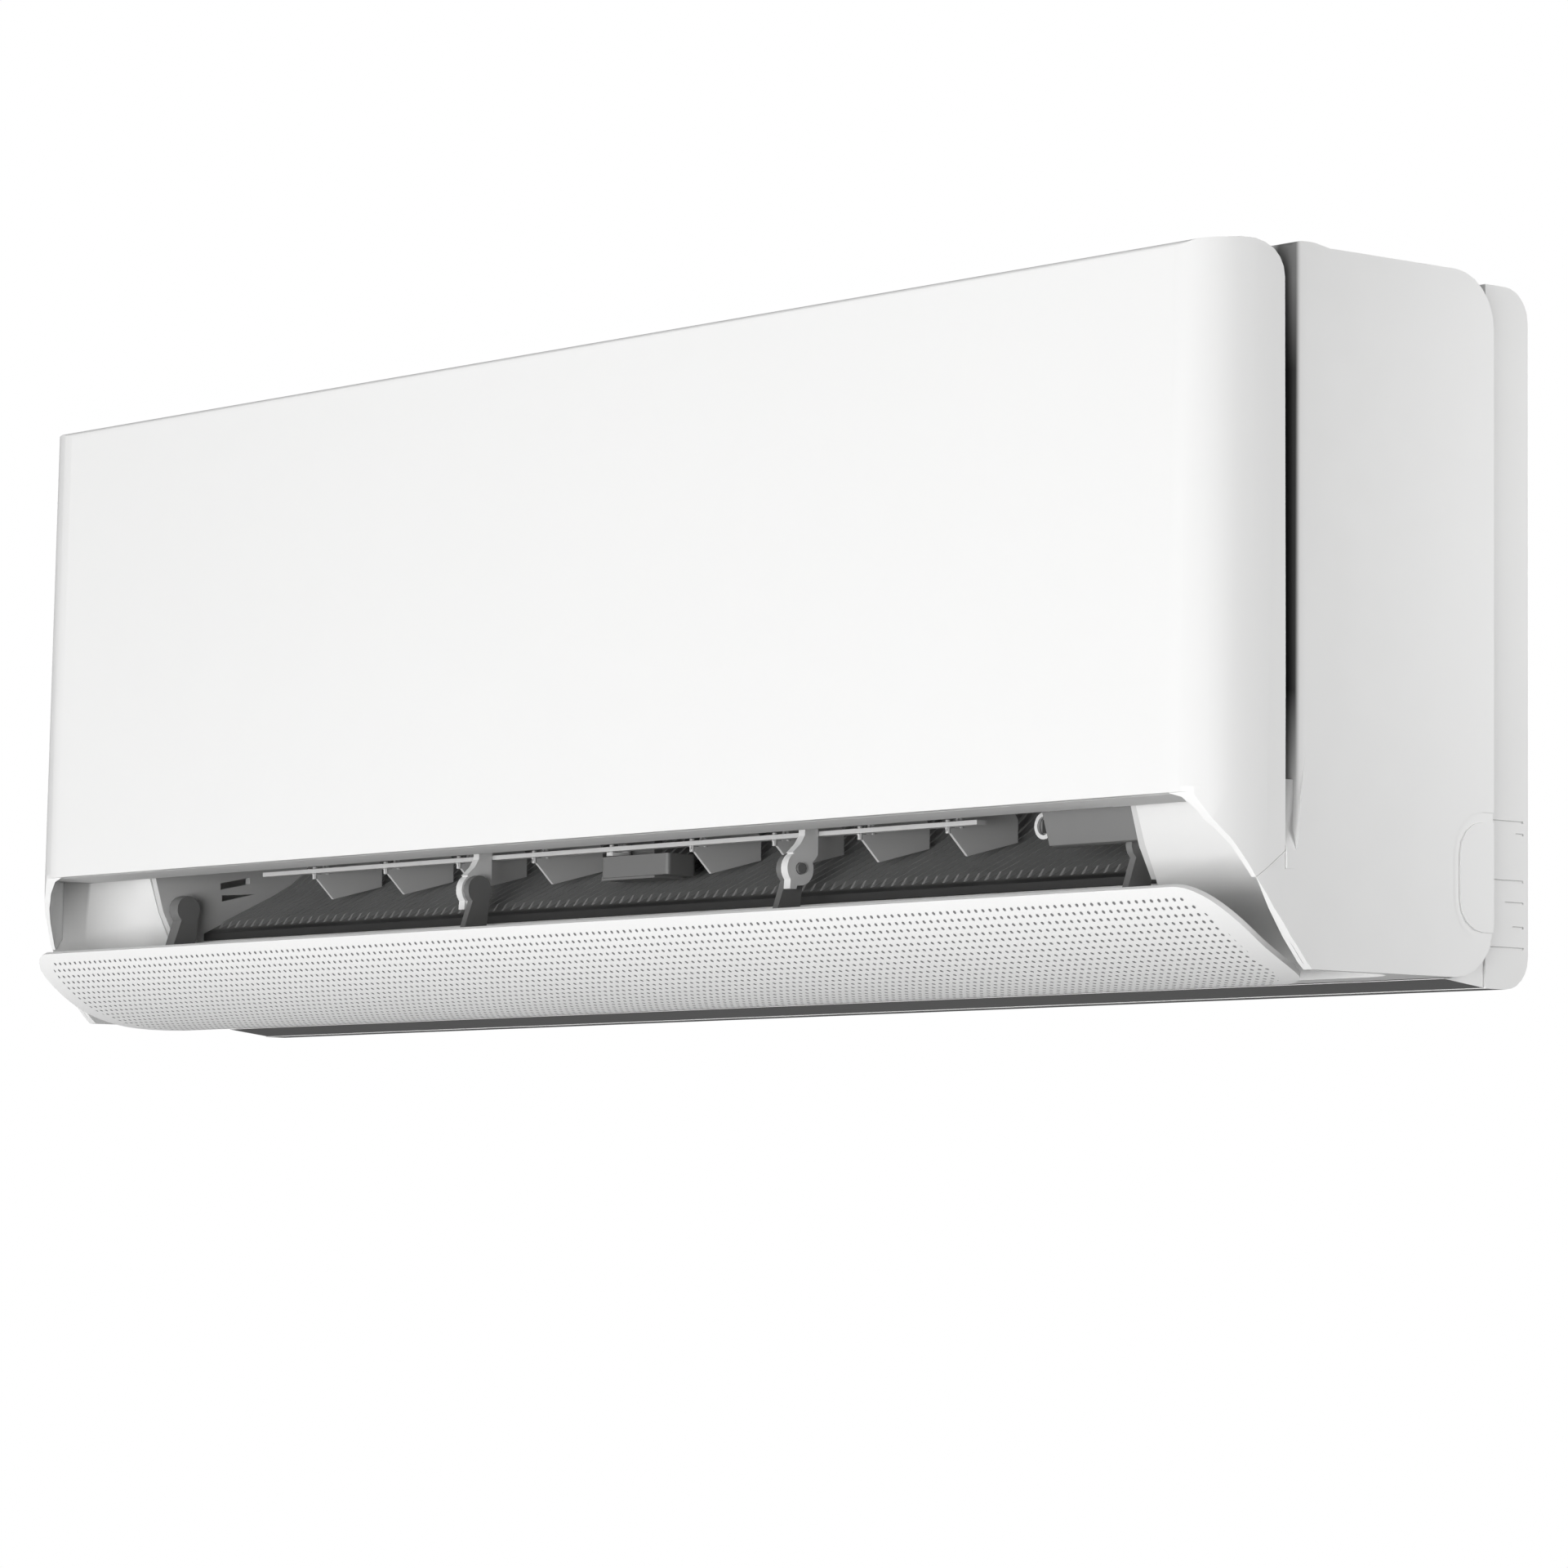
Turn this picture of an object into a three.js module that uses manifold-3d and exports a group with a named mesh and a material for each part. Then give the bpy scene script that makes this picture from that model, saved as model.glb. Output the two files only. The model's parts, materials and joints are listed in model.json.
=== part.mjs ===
// Indoor unit of a split air conditioner, wall hung, with its outlet flap swung open.
// Millimetres. X runs along the unit, Y points into the wall, Z is up.
// The drawing height 0 is the underside of the unit; the origin ends up on the wall face
// at the middle of the mounting plate.
import * as THREE from "three";
import { mergeVertices } from "three/addons/utils/BufferGeometryUtils.js";
import Module from "manifold-3d";

const wasm = await Module();
wasm.setup();

// ---- overall sizes -------------------------------------------------------------------
const WIDTH = 940;
const HEIGHT = 325;
const DEPTH = 192;
const FRONT = -DEPTH;
const SEAT = 0.3; // clearance between pieces that rest on each other
const RUN = 0.3; // radial clearance of a turning pin in its eye
const PLATE_CENTRE_Z = 178; // height of the mounting plate's middle above the underside

// ---- casing ---------------------------------------------------------------------------
const SHELL = 2.6; // moulded wall
const CORNER = 41; // plan radius of the front corners
const PANEL_LEAN = 4.5; // how far the front's top edge lies back
const PANEL_REACH = 34; // depth of the front panel round the corner
const SHADOW_GAP = 6; // groove between panel and frame
const NECK_STEP = 9; // how far the frame is drawn in under the panel
const CASE_DROP = 2; // the frame's top lies this much under the panel's
const CASE_FLOOR = 7; // underside of the frame
const CASE_EDGE = 6; // rounding of the frame's front edge
const CASE_REAR_RADIUS = 25;
const STRIP = 28; // depth of the rear chassis that shows beside the wall
const STRIP_INSET = 5.5;
const STRIP_TOP_DROP = 5.5;
const STRIP_FLOOR = 3;
const STRIP_RADIUS = 15;
const CHASSIS_WALL = 3;
const BACK_WALL = 10; // rear face to the inside of the chassis
const PANEL_EDGE_Z = 83; // lower edge of the front panel

// ---- outlet ---------------------------------------------------------------------------
const LEFT_BAY = 52; // side of the casing to the duct, left
const RIGHT_BAY = 121; // and right, where motor and controls sit
const DUCT_LEFT = -WIDTH / 2 + LEFT_BAY;
const DUCT_RIGHT = WIDTH / 2 - RIGHT_BAY;
const DUCT_WALL = 4; // end walls of the air duct
const LIP_Y = FRONT + 88; // front edge of the duct's floor
const LIP_Z = 56;
const LIP_THICK = 4;
const FLOOR_THICK = 3;

// ---- flap -----------------------------------------------------------------------------
const EYE_Y = FRONT + 72; // flap hinge line
const EYE_Z = 68;
const FLAP_OPEN = THREE.MathUtils.degToRad(30); // the flap rests open
const FLAP_TOP_Z = 79.6;
const FLAP_THICK = 2.5;
const FLAP_END_GAP = 11; // flap end to the casing's side
const FLAP_HALF = WIDTH / 2 - FLAP_END_GAP;
const FLAP_RIGHT_RADIUS = 30; // upper corners of the flap
const FLAP_LEFT_RADIUS = 13;
const FLAP_CUT_Y = FRONT + 28; // where the flap's rear corners start to be cut off
const FLAP_CUT_LONG = 86;
const RECESS_HALF = WIDTH / 2 - 2 * SHELL - SEAT;
const RECESS_FILLET = 26;
const ARM_LEFT_X = DUCT_LEFT + 261;
const ARM_RIGHT_X = ARM_LEFT_X + 257;
const ARM_THICK = 4.8;
const EYE_RADIUS = 8.25;
const EYE_PIN = 2.7;
const LUG_THICK = 4;
const HUB_RADIUS = 7.5;
const LUG_LEFT_X = DUCT_LEFT + 1;
const LUG_RIGHT_X = DUCT_RIGHT - 12;

// ---- fan ------------------------------------------------------------------------------
const SCROLL_GAP = 8; // fan to the top of the scroll
const SCROLL_FOOT_Z = 76.75; // height of the scroll's foot
const SCROLL_FOOT_ANGLE = THREE.MathUtils.degToRad(78); // under the fan's axis
const SCROLL_TO_WALL = 7; // behind the scroll, to the inside of the back wall
const FAN_FRONT = FRONT + 66;
const FAN_BACK = -BACK_WALL - SCROLL_TO_WALL - FLOOR_THICK - SCROLL_GAP;
const FAN_Y = (FAN_FRONT + FAN_BACK) / 2;
const FAN_FLOOR = 106; // underside of the fan
const FAN_RADIUS = (FAN_BACK - FAN_FRONT) / 2;
const FAN_Z = FAN_FLOOR + FAN_RADIUS;
const SCROLL_FOOT = (FAN_Z - SCROLL_FOOT_Z) / Math.sin(SCROLL_FOOT_ANGLE); // radius at the foot
const FAN_BLADES = 14;
const FAN_SECTIONS = 3;
const FAN_END_GAP = 6;
const BLADE_CHORD = 13;
const BLADE_THICK = 1.6;
const DISC_THICK = 2.5;
const FAN_SHAFT = 4;
const SHAFT_FIT = 0.09; // the shaft runs in its bearing
const BEARING_RADIUS = 11;
const TONGUE_GAP = 6; // fan to tongue

// ---- louvre vanes ----------------------------------------------------------------------
const VANE_COUNT = 9; // positions, the middle one is the drive
const VANE_PITCH = 63.2;
const VANE_MIDDLE_X = DUCT_LEFT + 358;
const VANE_DRIVE = (VANE_COUNT - 1) / 2;
const VANE_THICK = 1.6;
const VANE_PIVOT_Y = FRONT + 94;
const VANE_LEVER = 8; // pivot to tie bar
const VANE_PIN = 1.5;
const BAR_Z = 84.2;
const BAR_THICK = 2.2;
const BAR_WIDE = 5.8;

// ---- heat exchanger and pan ------------------------------------------------------------
const PAN_FLOOR = 106; // floor of the drip trough
const PAN_FRONT_Y = FRONT + 12;
const PAN_RIM = 122;
const COIL_END_GAP = 6;
const END_PLATE = 1.2;
const TUBE_RADIUS = 4;
const FILTER_THICK = 3;
const FILTER_LIFT_TAB = 9;
const FILTER_MIDDLE = 3; // half the gap between the filters
const FILTER_OVERHANG = 4.5; // past the duct's end walls

// ---- mounting plate ---------------------------------------------------------------------
const PLATE_HALF = 330;
const PLATE_TALL = 210;
const PLATE_THICK = 1.5;
const HOOK_REACH = 6; // plate's hooks, measured from the wall

// ---- pipe channel -----------------------------------------------------------------------
const CHANNEL_TOP = 46;
const CHANNEL_DEEP = 46;
const GAS_PIPE = 6.35;
const LIQUID_PIPE = 3.2;

const X_AXIS = new THREE.Vector3(1, 0, 0);
const Y_AXIS = new THREE.Vector3(0, 1, 0);
const Z_AXIS = new THREE.Vector3(0, 0, 1);
const ARC_STEPS = 6;

// ---- drawing helpers ---------------------------------------------------------------------
// A closed outline from corner points [u, v, radius]; corners with a radius become arcs.
function rounded(corners, steps = ARC_STEPS) {
  const points = [];
  corners.forEach(([u, v, radius = 0], i) => {
    const corner = new THREE.Vector2(u, v);
    if (radius === 0) {
      points.push(corner);
      return;
    }
    const toward = ([a, b]) => new THREE.Vector2(a, b).sub(corner).normalize();
    const before = toward(corners.at(i - 1));
    const after = toward(corners[(i + 1) % corners.length]);
    const half = Math.acos(THREE.MathUtils.clamp(before.dot(after), -1, 1)) / 2;
    const middle = before.clone().add(after).normalize();
    const centre = corner.clone().addScaledVector(middle, radius / Math.sin(half));
    const start = corner.clone().addScaledVector(before, radius / Math.tan(half)).sub(centre);
    const sweep = (Math.PI - 2 * half) * (before.cross(after) > 0 ? -1 : 1);
    for (let k = 0; k <= steps; k += 1) {
      const turned = start.clone().rotateAround(new THREE.Vector2(), (sweep * k) / steps);
      points.push(turned.add(centre));
    }
  });
  return points;
}

function circle(u, v, radius, steps = 24) {
  return Array.from({ length: steps }, (_, i) => {
    const angle = (2 * Math.PI * i) / steps;
    return new THREE.Vector2(u + radius * Math.cos(angle), v + radius * Math.sin(angle));
  });
}

// An open line moved sideways; a positive distance lies to its left.
function offset(points, distance) {
  return points.map((point, i) => {
    const before = points[Math.max(i - 1, 0)];
    const after = points[Math.min(i + 1, points.length - 1)];
    const along = after.clone().sub(before).normalize();
    return new THREE.Vector2(point.x - along.y * distance, point.y + along.x * distance);
  });
}

const band = (points, distance) => [...points, ...offset(points, distance).reverse()];

// ---- solids --------------------------------------------------------------------------------
function solid(geometry) {
  const bare = geometry.clone();
  bare.deleteAttribute("normal");
  bare.deleteAttribute("uv");
  const merged = mergeVertices(bare, 1e-4);
  return new wasm.Manifold(new wasm.Mesh({
    numProp: 3,
    vertProperties: Float32Array.from(merged.attributes.position.array),
    triVerts: Uint32Array.from(merged.index.array),
  }));
}

function extruded(points, length) {
  const shape = new THREE.Shape(points.map((p) => (Array.isArray(p) ? new THREE.Vector2(...p) : p)));
  return new THREE.ExtrudeGeometry(shape, { depth: length, bevelEnabled: false, curveSegments: 1 });
}

// Outlines drawn in the (Y, Z), (X, Z) and (X, Y) planes, run along the third axis.
function alongX(points, from, to) {
  const geometry = extruded(points, to - from);
  geometry.applyMatrix4(new THREE.Matrix4().makeBasis(Y_AXIS, Z_AXIS, X_AXIS));
  return solid(geometry.translate(from, 0, 0));
}

function alongY(points, from, to) {
  const geometry = extruded(points, to - from);
  geometry.applyMatrix4(new THREE.Matrix4().makeBasis(X_AXIS, Z_AXIS, Y_AXIS.clone().negate()));
  return solid(geometry.translate(0, to, 0));
}

function alongZ(points, from, to) {
  return solid(extruded(points, to - from).translate(0, 0, from));
}

// A plan outline run up from one point of the section to another, moved along Y on the way.
function leaning(points, [y0, z0], [y1, z1]) {
  const lean = (y1 - y0) / (z1 - z0);
  const shear = new THREE.Matrix4().set(1, 0, 0, 0, 0, 1, lean, y0, 0, 0, 1, z0, 0, 0, 0, 1);
  return solid(extruded(points, z1 - z0).applyMatrix4(shear));
}

function box(x0, x1, y0, y1, z0, z1) {
  const geometry = new THREE.BoxGeometry(x1 - x0, y1 - y0, z1 - z0);
  return solid(geometry.translate((x0 + x1) / 2, (y0 + y1) / 2, (z0 + z1) / 2));
}

const rodX = (y, z, radius, from, to, steps) => alongX(circle(y, z, radius, steps), from, to);
const rodZ = (x, y, radius, from, to, steps) => alongZ(circle(x, y, radius, steps), from, to);

const joined = (pieces) => pieces.reduce((whole, piece) => whole.add(piece));
const cut = (body, tools) => tools.reduce((rest, tool) => rest.subtract(tool), body);

// Faces that coincide can leave empty slivers beside a solid; only the solid itself is kept.
const whole = (body) => body.decompose().sort((a, b) => b.volume() - a.volume())[0];

function geometryOf(body) {
  const { vertProperties, triVerts } = body.getMesh();
  const geometry = new THREE.BufferGeometry();
  geometry.setAttribute("position", new THREE.Float32BufferAttribute(vertProperties, 3));
  geometry.setIndex(new THREE.BufferAttribute(triVerts, 1));
  geometry.computeVertexNormals();
  return geometry;
}

function tube(points, radius, steps, sides = 10) {
  const path = new THREE.CatmullRomCurve3(points.map((p) => new THREE.Vector3(...p)), false, "centripetal");
  const section = new THREE.Shape(circle(0, 0, radius, sides));
  return solid(new THREE.ExtrudeGeometry(section, { steps, extrudePath: path, bevelEnabled: false }));
}

// ---- materials --------------------------------------------------------------------------------
const plastic = (color, roughness = 0.5) =>
  new THREE.MeshStandardMaterial({ color, roughness, metalness: 0 });
const metal = (color, roughness = 0.35) =>
  new THREE.MeshStandardMaterial({ color, roughness, metalness: 1 });
const WHITE = plastic(0xf4f4f2, 0.4);
const SHELL_GREY = plastic(0xe4e4e2, 0.5);
const DUCT_GREY = plastic(0x8c8d8e, 0.6);
const DARK_GREY = plastic(0x4a4b4d, 0.6);
const BLACK = plastic(0x1c1c1d, 0.6);
const STEEL = metal(0xb9bcc0, 0.4);
const ALUMINIUM = metal(0xc9ccd0, 0.45);
const COPPER = metal(0xb87333, 0.35);
const BRASS = metal(0xc8a24a, 0.35);
const BOARD = plastic(0x2f6b3a, 0.6);

const unit = new THREE.Group();
unit.position.z = -PLATE_CENTRE_Z;
const flapSwing = new THREE.Group();
flapSwing.position.set(0, EYE_Y, EYE_Z);
flapSwing.rotation.x = FLAP_OPEN;
unit.add(flapSwing);

function place(name, body, material, parent = unit) {
  const mesh = new THREE.Mesh(geometryOf(body), material);
  mesh.name = name;
  parent.add(mesh);
}

// Pieces of the flap are drawn shut; this puts them on the hinge line's own group.
const onFlap = (name, body, material) =>
  place(name, body.translate([0, -EYE_Y, -EYE_Z]), material, flapSwing);

// ---- shared lines of the section ------------------------------------------------------------------
const curve = (points, steps) => new THREE.CubicBezierCurve(...points.map((p) => new THREE.Vector2(...p)))
  .getPoints(steps);

// Outside of the shut flap, from its top edge to its rear edge.
const flapLine = curve(
  [[FRONT + 0.5, FLAP_TOP_Z], [FRONT + 0.9, 38], [FRONT + 48, -6.5], [FRONT + 75, 2.6]], 16);

// Diagonal lower edge of the panel's ends and of the frame's cheeks.
const CHEEK_LINE = [
  [FRONT + SHELL, PANEL_EDGE_Z], [FRONT + 7, 71], [FRONT + 14, 59.5], [FRONT + 21, 46],
  [FRONT + 28.5, 33], [FRONT + 37, 21], [FRONT + 46.5, 10], [FRONT + 50, CASE_FLOOR],
];
const OUTSIDE = 20; // cutters reach this far out of the casing
const cheekCut = [
  [FRONT - OUTSIDE, PANEL_EDGE_Z], ...CHEEK_LINE, [FRONT + 50, -OUTSIDE], [FRONT - OUTSIDE, -OUTSIDE],
];

// Face of the recess behind the flap, from the top down.
const RECESS_TOP = 91;
const RECESS_FRONT = FRONT + 42; // above the panel's edge the recess reaches only this far forward
const RECESS_LINE = [
  [FRONT + 53, RECESS_TOP], [FRONT + 61, 67], [FRONT + 69, 50], [FRONT + 80, 37], [FRONT + 98, 26],
  [FRONT + 116, 15], [FRONT + 118, -OUTSIDE],
];
// Below the duct the recess goes deeper, to let the flap's lugs pass.
const CHIN_TOP = LIP_Z - LIP_THICK - SEAT;
const CHIN_LINE = [
  [LIP_Y - 1, CHIN_TOP], [LIP_Y - 1, CHIN_TOP - 1], [FRONT + 94, 38], [FRONT + 106, 26], [FRONT + 116, 18],
];

const shifted = (line, distance) => offset(line.map((p) => new THREE.Vector2(...p)), distance);

// The recess behind the flap, or with a thickness the body whose skin lines it.
function recess(thick) {
  const half = RECESS_HALF + thick;
  const plan = rounded([[-half, -DEPTH], [half, -DEPTH], [half, 0, RECESS_FILLET + thick],
    [-half, 0, RECESS_FILLET + thick]]);
  const face = shifted(RECESS_LINE, thick).map((p) => [p.x, p.y]);
  face[0] = [face[0][0], RECESS_TOP + thick];
  const stages = face.slice(1).map((low, i) => leaning(plan, low, face[i]));
  const behindPanel = box(-WIDTH, WIDTH, -2 * DEPTH, RECESS_FRONT - thick, PANEL_EDGE_Z + thick, HEIGHT);
  const chin = alongX([[FRONT - OUTSIDE, CHIN_TOP + thick], [LIP_Y - 1 + thick, CHIN_TOP + thick],
    ...shifted(CHIN_LINE, thick).slice(1),
    [FRONT + 118 + thick, -OUTSIDE], [FRONT - OUTSIDE, -OUTSIDE]],
  DUCT_LEFT - DUCT_WALL - thick, DUCT_RIGHT + DUCT_WALL + thick);
  return joined(stages).subtract(behindPanel).add(chin);
}

function planOutline(inset, frontY, rearY, radius) {
  const half = WIDTH / 2 - inset;
  return rounded([[-half, rearY], [half, rearY], [half, frontY, radius],
    [-half, frontY, radius]].reverse(), 8);
}

// Scroll behind the fan: its radius grows towards the foot, then it runs straight to the lip.
const scrollLine = (() => {
  const steps = 14;
  const top = THREE.MathUtils.degToRad(55);
  const foot = -SCROLL_FOOT_ANGLE;
  const points = [];
  for (let i = 0; i <= steps; i += 1) {
    const angle = top + ((foot - top) * i) / steps;
    const radius = FAN_RADIUS + SCROLL_GAP + (SCROLL_FOOT - FAN_RADIUS - SCROLL_GAP) * (i / steps) ** 1.8;
    points.push(new THREE.Vector2(FAN_Y + radius * Math.cos(angle), FAN_Z + radius * Math.sin(angle)));
  }
  points.push(new THREE.Vector2(LIP_Y, LIP_Z));
  return points;
})();

// ---- front panel ---------------------------------------------------------------------------------
const PANEL_BACK = FRONT + PANEL_REACH;
const PANEL_TOP_RADIUS = 3.5;
const PANEL_BACK_RADIUS = 17; // side view, where the panel's end meets its top
const HINGE_Y = PANEL_BACK - 4;
const HINGE_Z = HEIGHT - 7;
const HINGE_X = WIDTH / 2 - 52;
const HINGE_PIN = 2;
const HINGE_EAR = 4;

// Plan of the panel with its round corners, upright below its edge and leaning back above.
function panelPlan(wall) {
  const plan = planOutline(wall, 0, PANEL_REACH + 2 * OUTSIDE, CORNER - wall);
  const edge = [FRONT + wall, PANEL_EDGE_Z];
  return leaning(plan, [FRONT + wall, -OUTSIDE], edge)
    .add(leaning(plan, edge, [FRONT + PANEL_LEAN + wall, HEIGHT]));
}

function frontPanel() {
  const profile = (wall) => rounded([
    [FRONT + wall, -OUTSIDE], [FRONT + wall, PANEL_EDGE_Z],
    [FRONT + PANEL_LEAN + wall, HEIGHT - wall, PANEL_TOP_RADIUS - wall],
    [PANEL_BACK + (wall ? OUTSIDE : 0), HEIGHT - wall, wall ? 0 : PANEL_BACK_RADIUS],
    [PANEL_BACK + (wall ? OUTSIDE : 0), -OUTSIDE],
  ]);
  const half = WIDTH / 2;
  const outer = alongX(profile(0), -half, half).intersect(panelPlan(0));
  const inner = alongX(profile(SHELL), -half, half).intersect(panelPlan(SHELL));
  const flange = alongX(
    [[FRONT + 1, PANEL_EDGE_Z], [FRONT + 6, PANEL_EDGE_Z], [FRONT + 6, PANEL_EDGE_Z + SHELL],
      [FRONT + 1, PANEL_EDGE_Z + SHELL]], -half, half)
    .intersect(alongZ(planOutline(0, FRONT, PANEL_BACK + OUTSIDE, CORNER), -OUTSIDE, HEIGHT));
  const notch = alongX(
    [[FRONT + 21, 46], [PANEL_BACK, 58], [PANEL_BACK + OUTSIDE, 58], [PANEL_BACK + OUTSIDE, 0],
      [FRONT + 21, 0]],
    -half, half);
  const shell = cut(outer.subtract(inner).add(flange), [alongX(cheekCut, -half, half), notch]);
  const lugs = [-1, 1].map((side) => {
    const inside = side * (HINGE_X - HINGE_EAR / 2 - SEAT);
    const [x0, x1] = [inside - side * 3, inside].sort((a, b) => a - b);
    const lug = alongX([[HINGE_Y - 5, HEIGHT - 1], [HINGE_Y - 5, HINGE_Z], [HINGE_Y - 2.5, HINGE_Z - 3],
      [HINGE_Y + 2.5, HINGE_Z - 3], [HINGE_Y + 3.5, HINGE_Z], [HINGE_Y + 3.5, HEIGHT - 1]], x0, x1);
    const [p0, p1] = [inside - side, inside + side * (HINGE_EAR + 2)].sort((a, b) => a - b);
    return lug.add(rodX(HINGE_Y, HINGE_Z, HINGE_PIN, p0, p1, 12));
  });
  return joined([shell, ...lugs]);
}

// ---- front frame ---------------------------------------------------------------------------------
const CASE_TOP = HEIGHT - CASE_DROP;
const CASE_FRONT = PANEL_BACK + SHADOW_GAP;
const CASE_BACK = -STRIP;
const NECK_TOP = CASE_TOP - NECK_STEP;
const NECK_FRONT = FRONT + 7;
const NECK_RADIUS = CORNER - NECK_STEP;
const GRILLE_PITCH = 58;
const GRILLE_SLOT = 50;
const GRILLE_FRONT = CASE_FRONT + 26;
const GRILLE_BACK = CASE_BACK - 16;
const GRILLE_RIB = 8;
const FILTER_SLOT_Y = CASE_FRONT + 9;
const FILTER_SLOT = 10;
const KNOCKOUT_Z = 52;
const KNOCKOUT_TALL = 58;
const KNOCKOUT_WIDE = 26;
const KNOCKOUT_BAND = 4.5;
const KNOCKOUT_DEEP = 0.7;

// The two filters share the air intake between the bays.
function filterSpan(side) {
  const middle = (DUCT_LEFT + DUCT_RIGHT) / 2;
  const reach = (DUCT_RIGHT - DUCT_LEFT) / 2 + FILTER_OVERHANG;
  return [middle + side * FILTER_MIDDLE, middle + side * reach].sort((a, b) => a - b);
}

function casing(wall) {
  const back = CASE_BACK - wall;
  const reach = WIDTH / 2;
  const side = rounded([
    [back, CASE_FLOOR + wall, CASE_REAR_RADIUS - wall], [back, CASE_TOP - wall, CASE_REAR_RADIUS - wall],
    [CASE_FRONT + 20, CASE_TOP - wall], [CASE_FRONT + 10, HEIGHT - 0.5 - wall],
    [CASE_FRONT + wall, HEIGHT - 0.5 - wall, 2.9 - wall], [CASE_FRONT + wall, CASE_FLOOR + wall],
  ]);
  const plan = planOutline(wall, CASE_FRONT + wall, back, CASE_EDGE - wall);
  return alongX(side, -reach, reach).intersect(alongZ(plan, -OUTSIDE, HEIGHT));
}

function neck(wall) {
  const side = [[CASE_BACK - 60, PANEL_EDGE_Z + wall], [CASE_BACK - 60, NECK_TOP - wall],
    [NECK_FRONT + PANEL_LEAN + wall, NECK_TOP - wall], [NECK_FRONT + wall, PANEL_EDGE_Z + wall]];
  const plan = planOutline(NECK_STEP + wall, NECK_FRONT + wall, CASE_BACK - 60, NECK_RADIUS - wall);
  return alongX(side, -WIDTH / 2, WIDTH / 2).intersect(alongZ(plan, -OUTSIDE, HEIGHT));
}

// Lower front of the frame: the cheeks that flank the flap.
function chin(wall) {
  const side = [[CASE_BACK - 60, CASE_FLOOR + wall], [CASE_BACK - 60, 100], [NECK_FRONT + wall, 100],
    [NECK_FRONT + wall, CASE_FLOOR + wall]];
  const plan = planOutline(wall, FRONT + wall, CASE_BACK - 60, CORNER - wall);
  return alongX(side, -WIDTH / 2, WIDTH / 2).intersect(alongZ(plan, -OUTSIDE, HEIGHT));
}

function grille() {
  const slots = [];
  const columns = Math.floor((WIDTH - 60) / GRILLE_PITCH);
  const middle = (GRILLE_FRONT + GRILLE_BACK) / 2;
  for (let i = 0; i < columns; i += 1) {
    const x = (i - (columns - 1) / 2) * GRILLE_PITCH;
    for (const [y0, y1] of [[GRILLE_FRONT, middle - GRILLE_RIB / 2],
      [middle + GRILLE_RIB / 2, GRILLE_BACK]]) {
      slots.push(box(x - GRILLE_SLOT / 2, x + GRILLE_SLOT / 2, y0, y1, CASE_TOP - 12, CASE_TOP + 5));
    }
  }
  return joined(slots);
}

function knockout(side) {
  const [x0, x1] = [side * (WIDTH / 2 - KNOCKOUT_DEEP), side * (WIDTH / 2 + 2)].sort((a, b) => a - b);
  const outline = (inset) => {
    const front = CASE_BACK - KNOCKOUT_WIDE + inset;
    const half = KNOCKOUT_TALL / 2 - inset;
    const radius = 19 - inset;
    return alongX(rounded([[front, KNOCKOUT_Z - half, radius], [CASE_BACK + 5, KNOCKOUT_Z - half],
      [CASE_BACK + 5, KNOCKOUT_Z + half], [front, KNOCKOUT_Z + half, radius]], 4), x0, x1);
  };
  return outline(0).subtract(outline(KNOCKOUT_BAND));
}

// The groove beside the panel ends below in a ramp that runs out to the frame's side.
function grooveRamp(side) {
  const half = WIDTH / 2;
  const foot = 58;
  const shape = [[side * (half - NECK_STEP - SHELL), foot - 8], [side * half, foot - 8],
    [side * half, foot],
    [side * (half - NECK_STEP), foot + 26], [side * (half - NECK_STEP - SHELL), foot + 26]];
  return alongY(shape, PANEL_BACK + SEAT, CASE_FRONT + 1);
}

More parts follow.
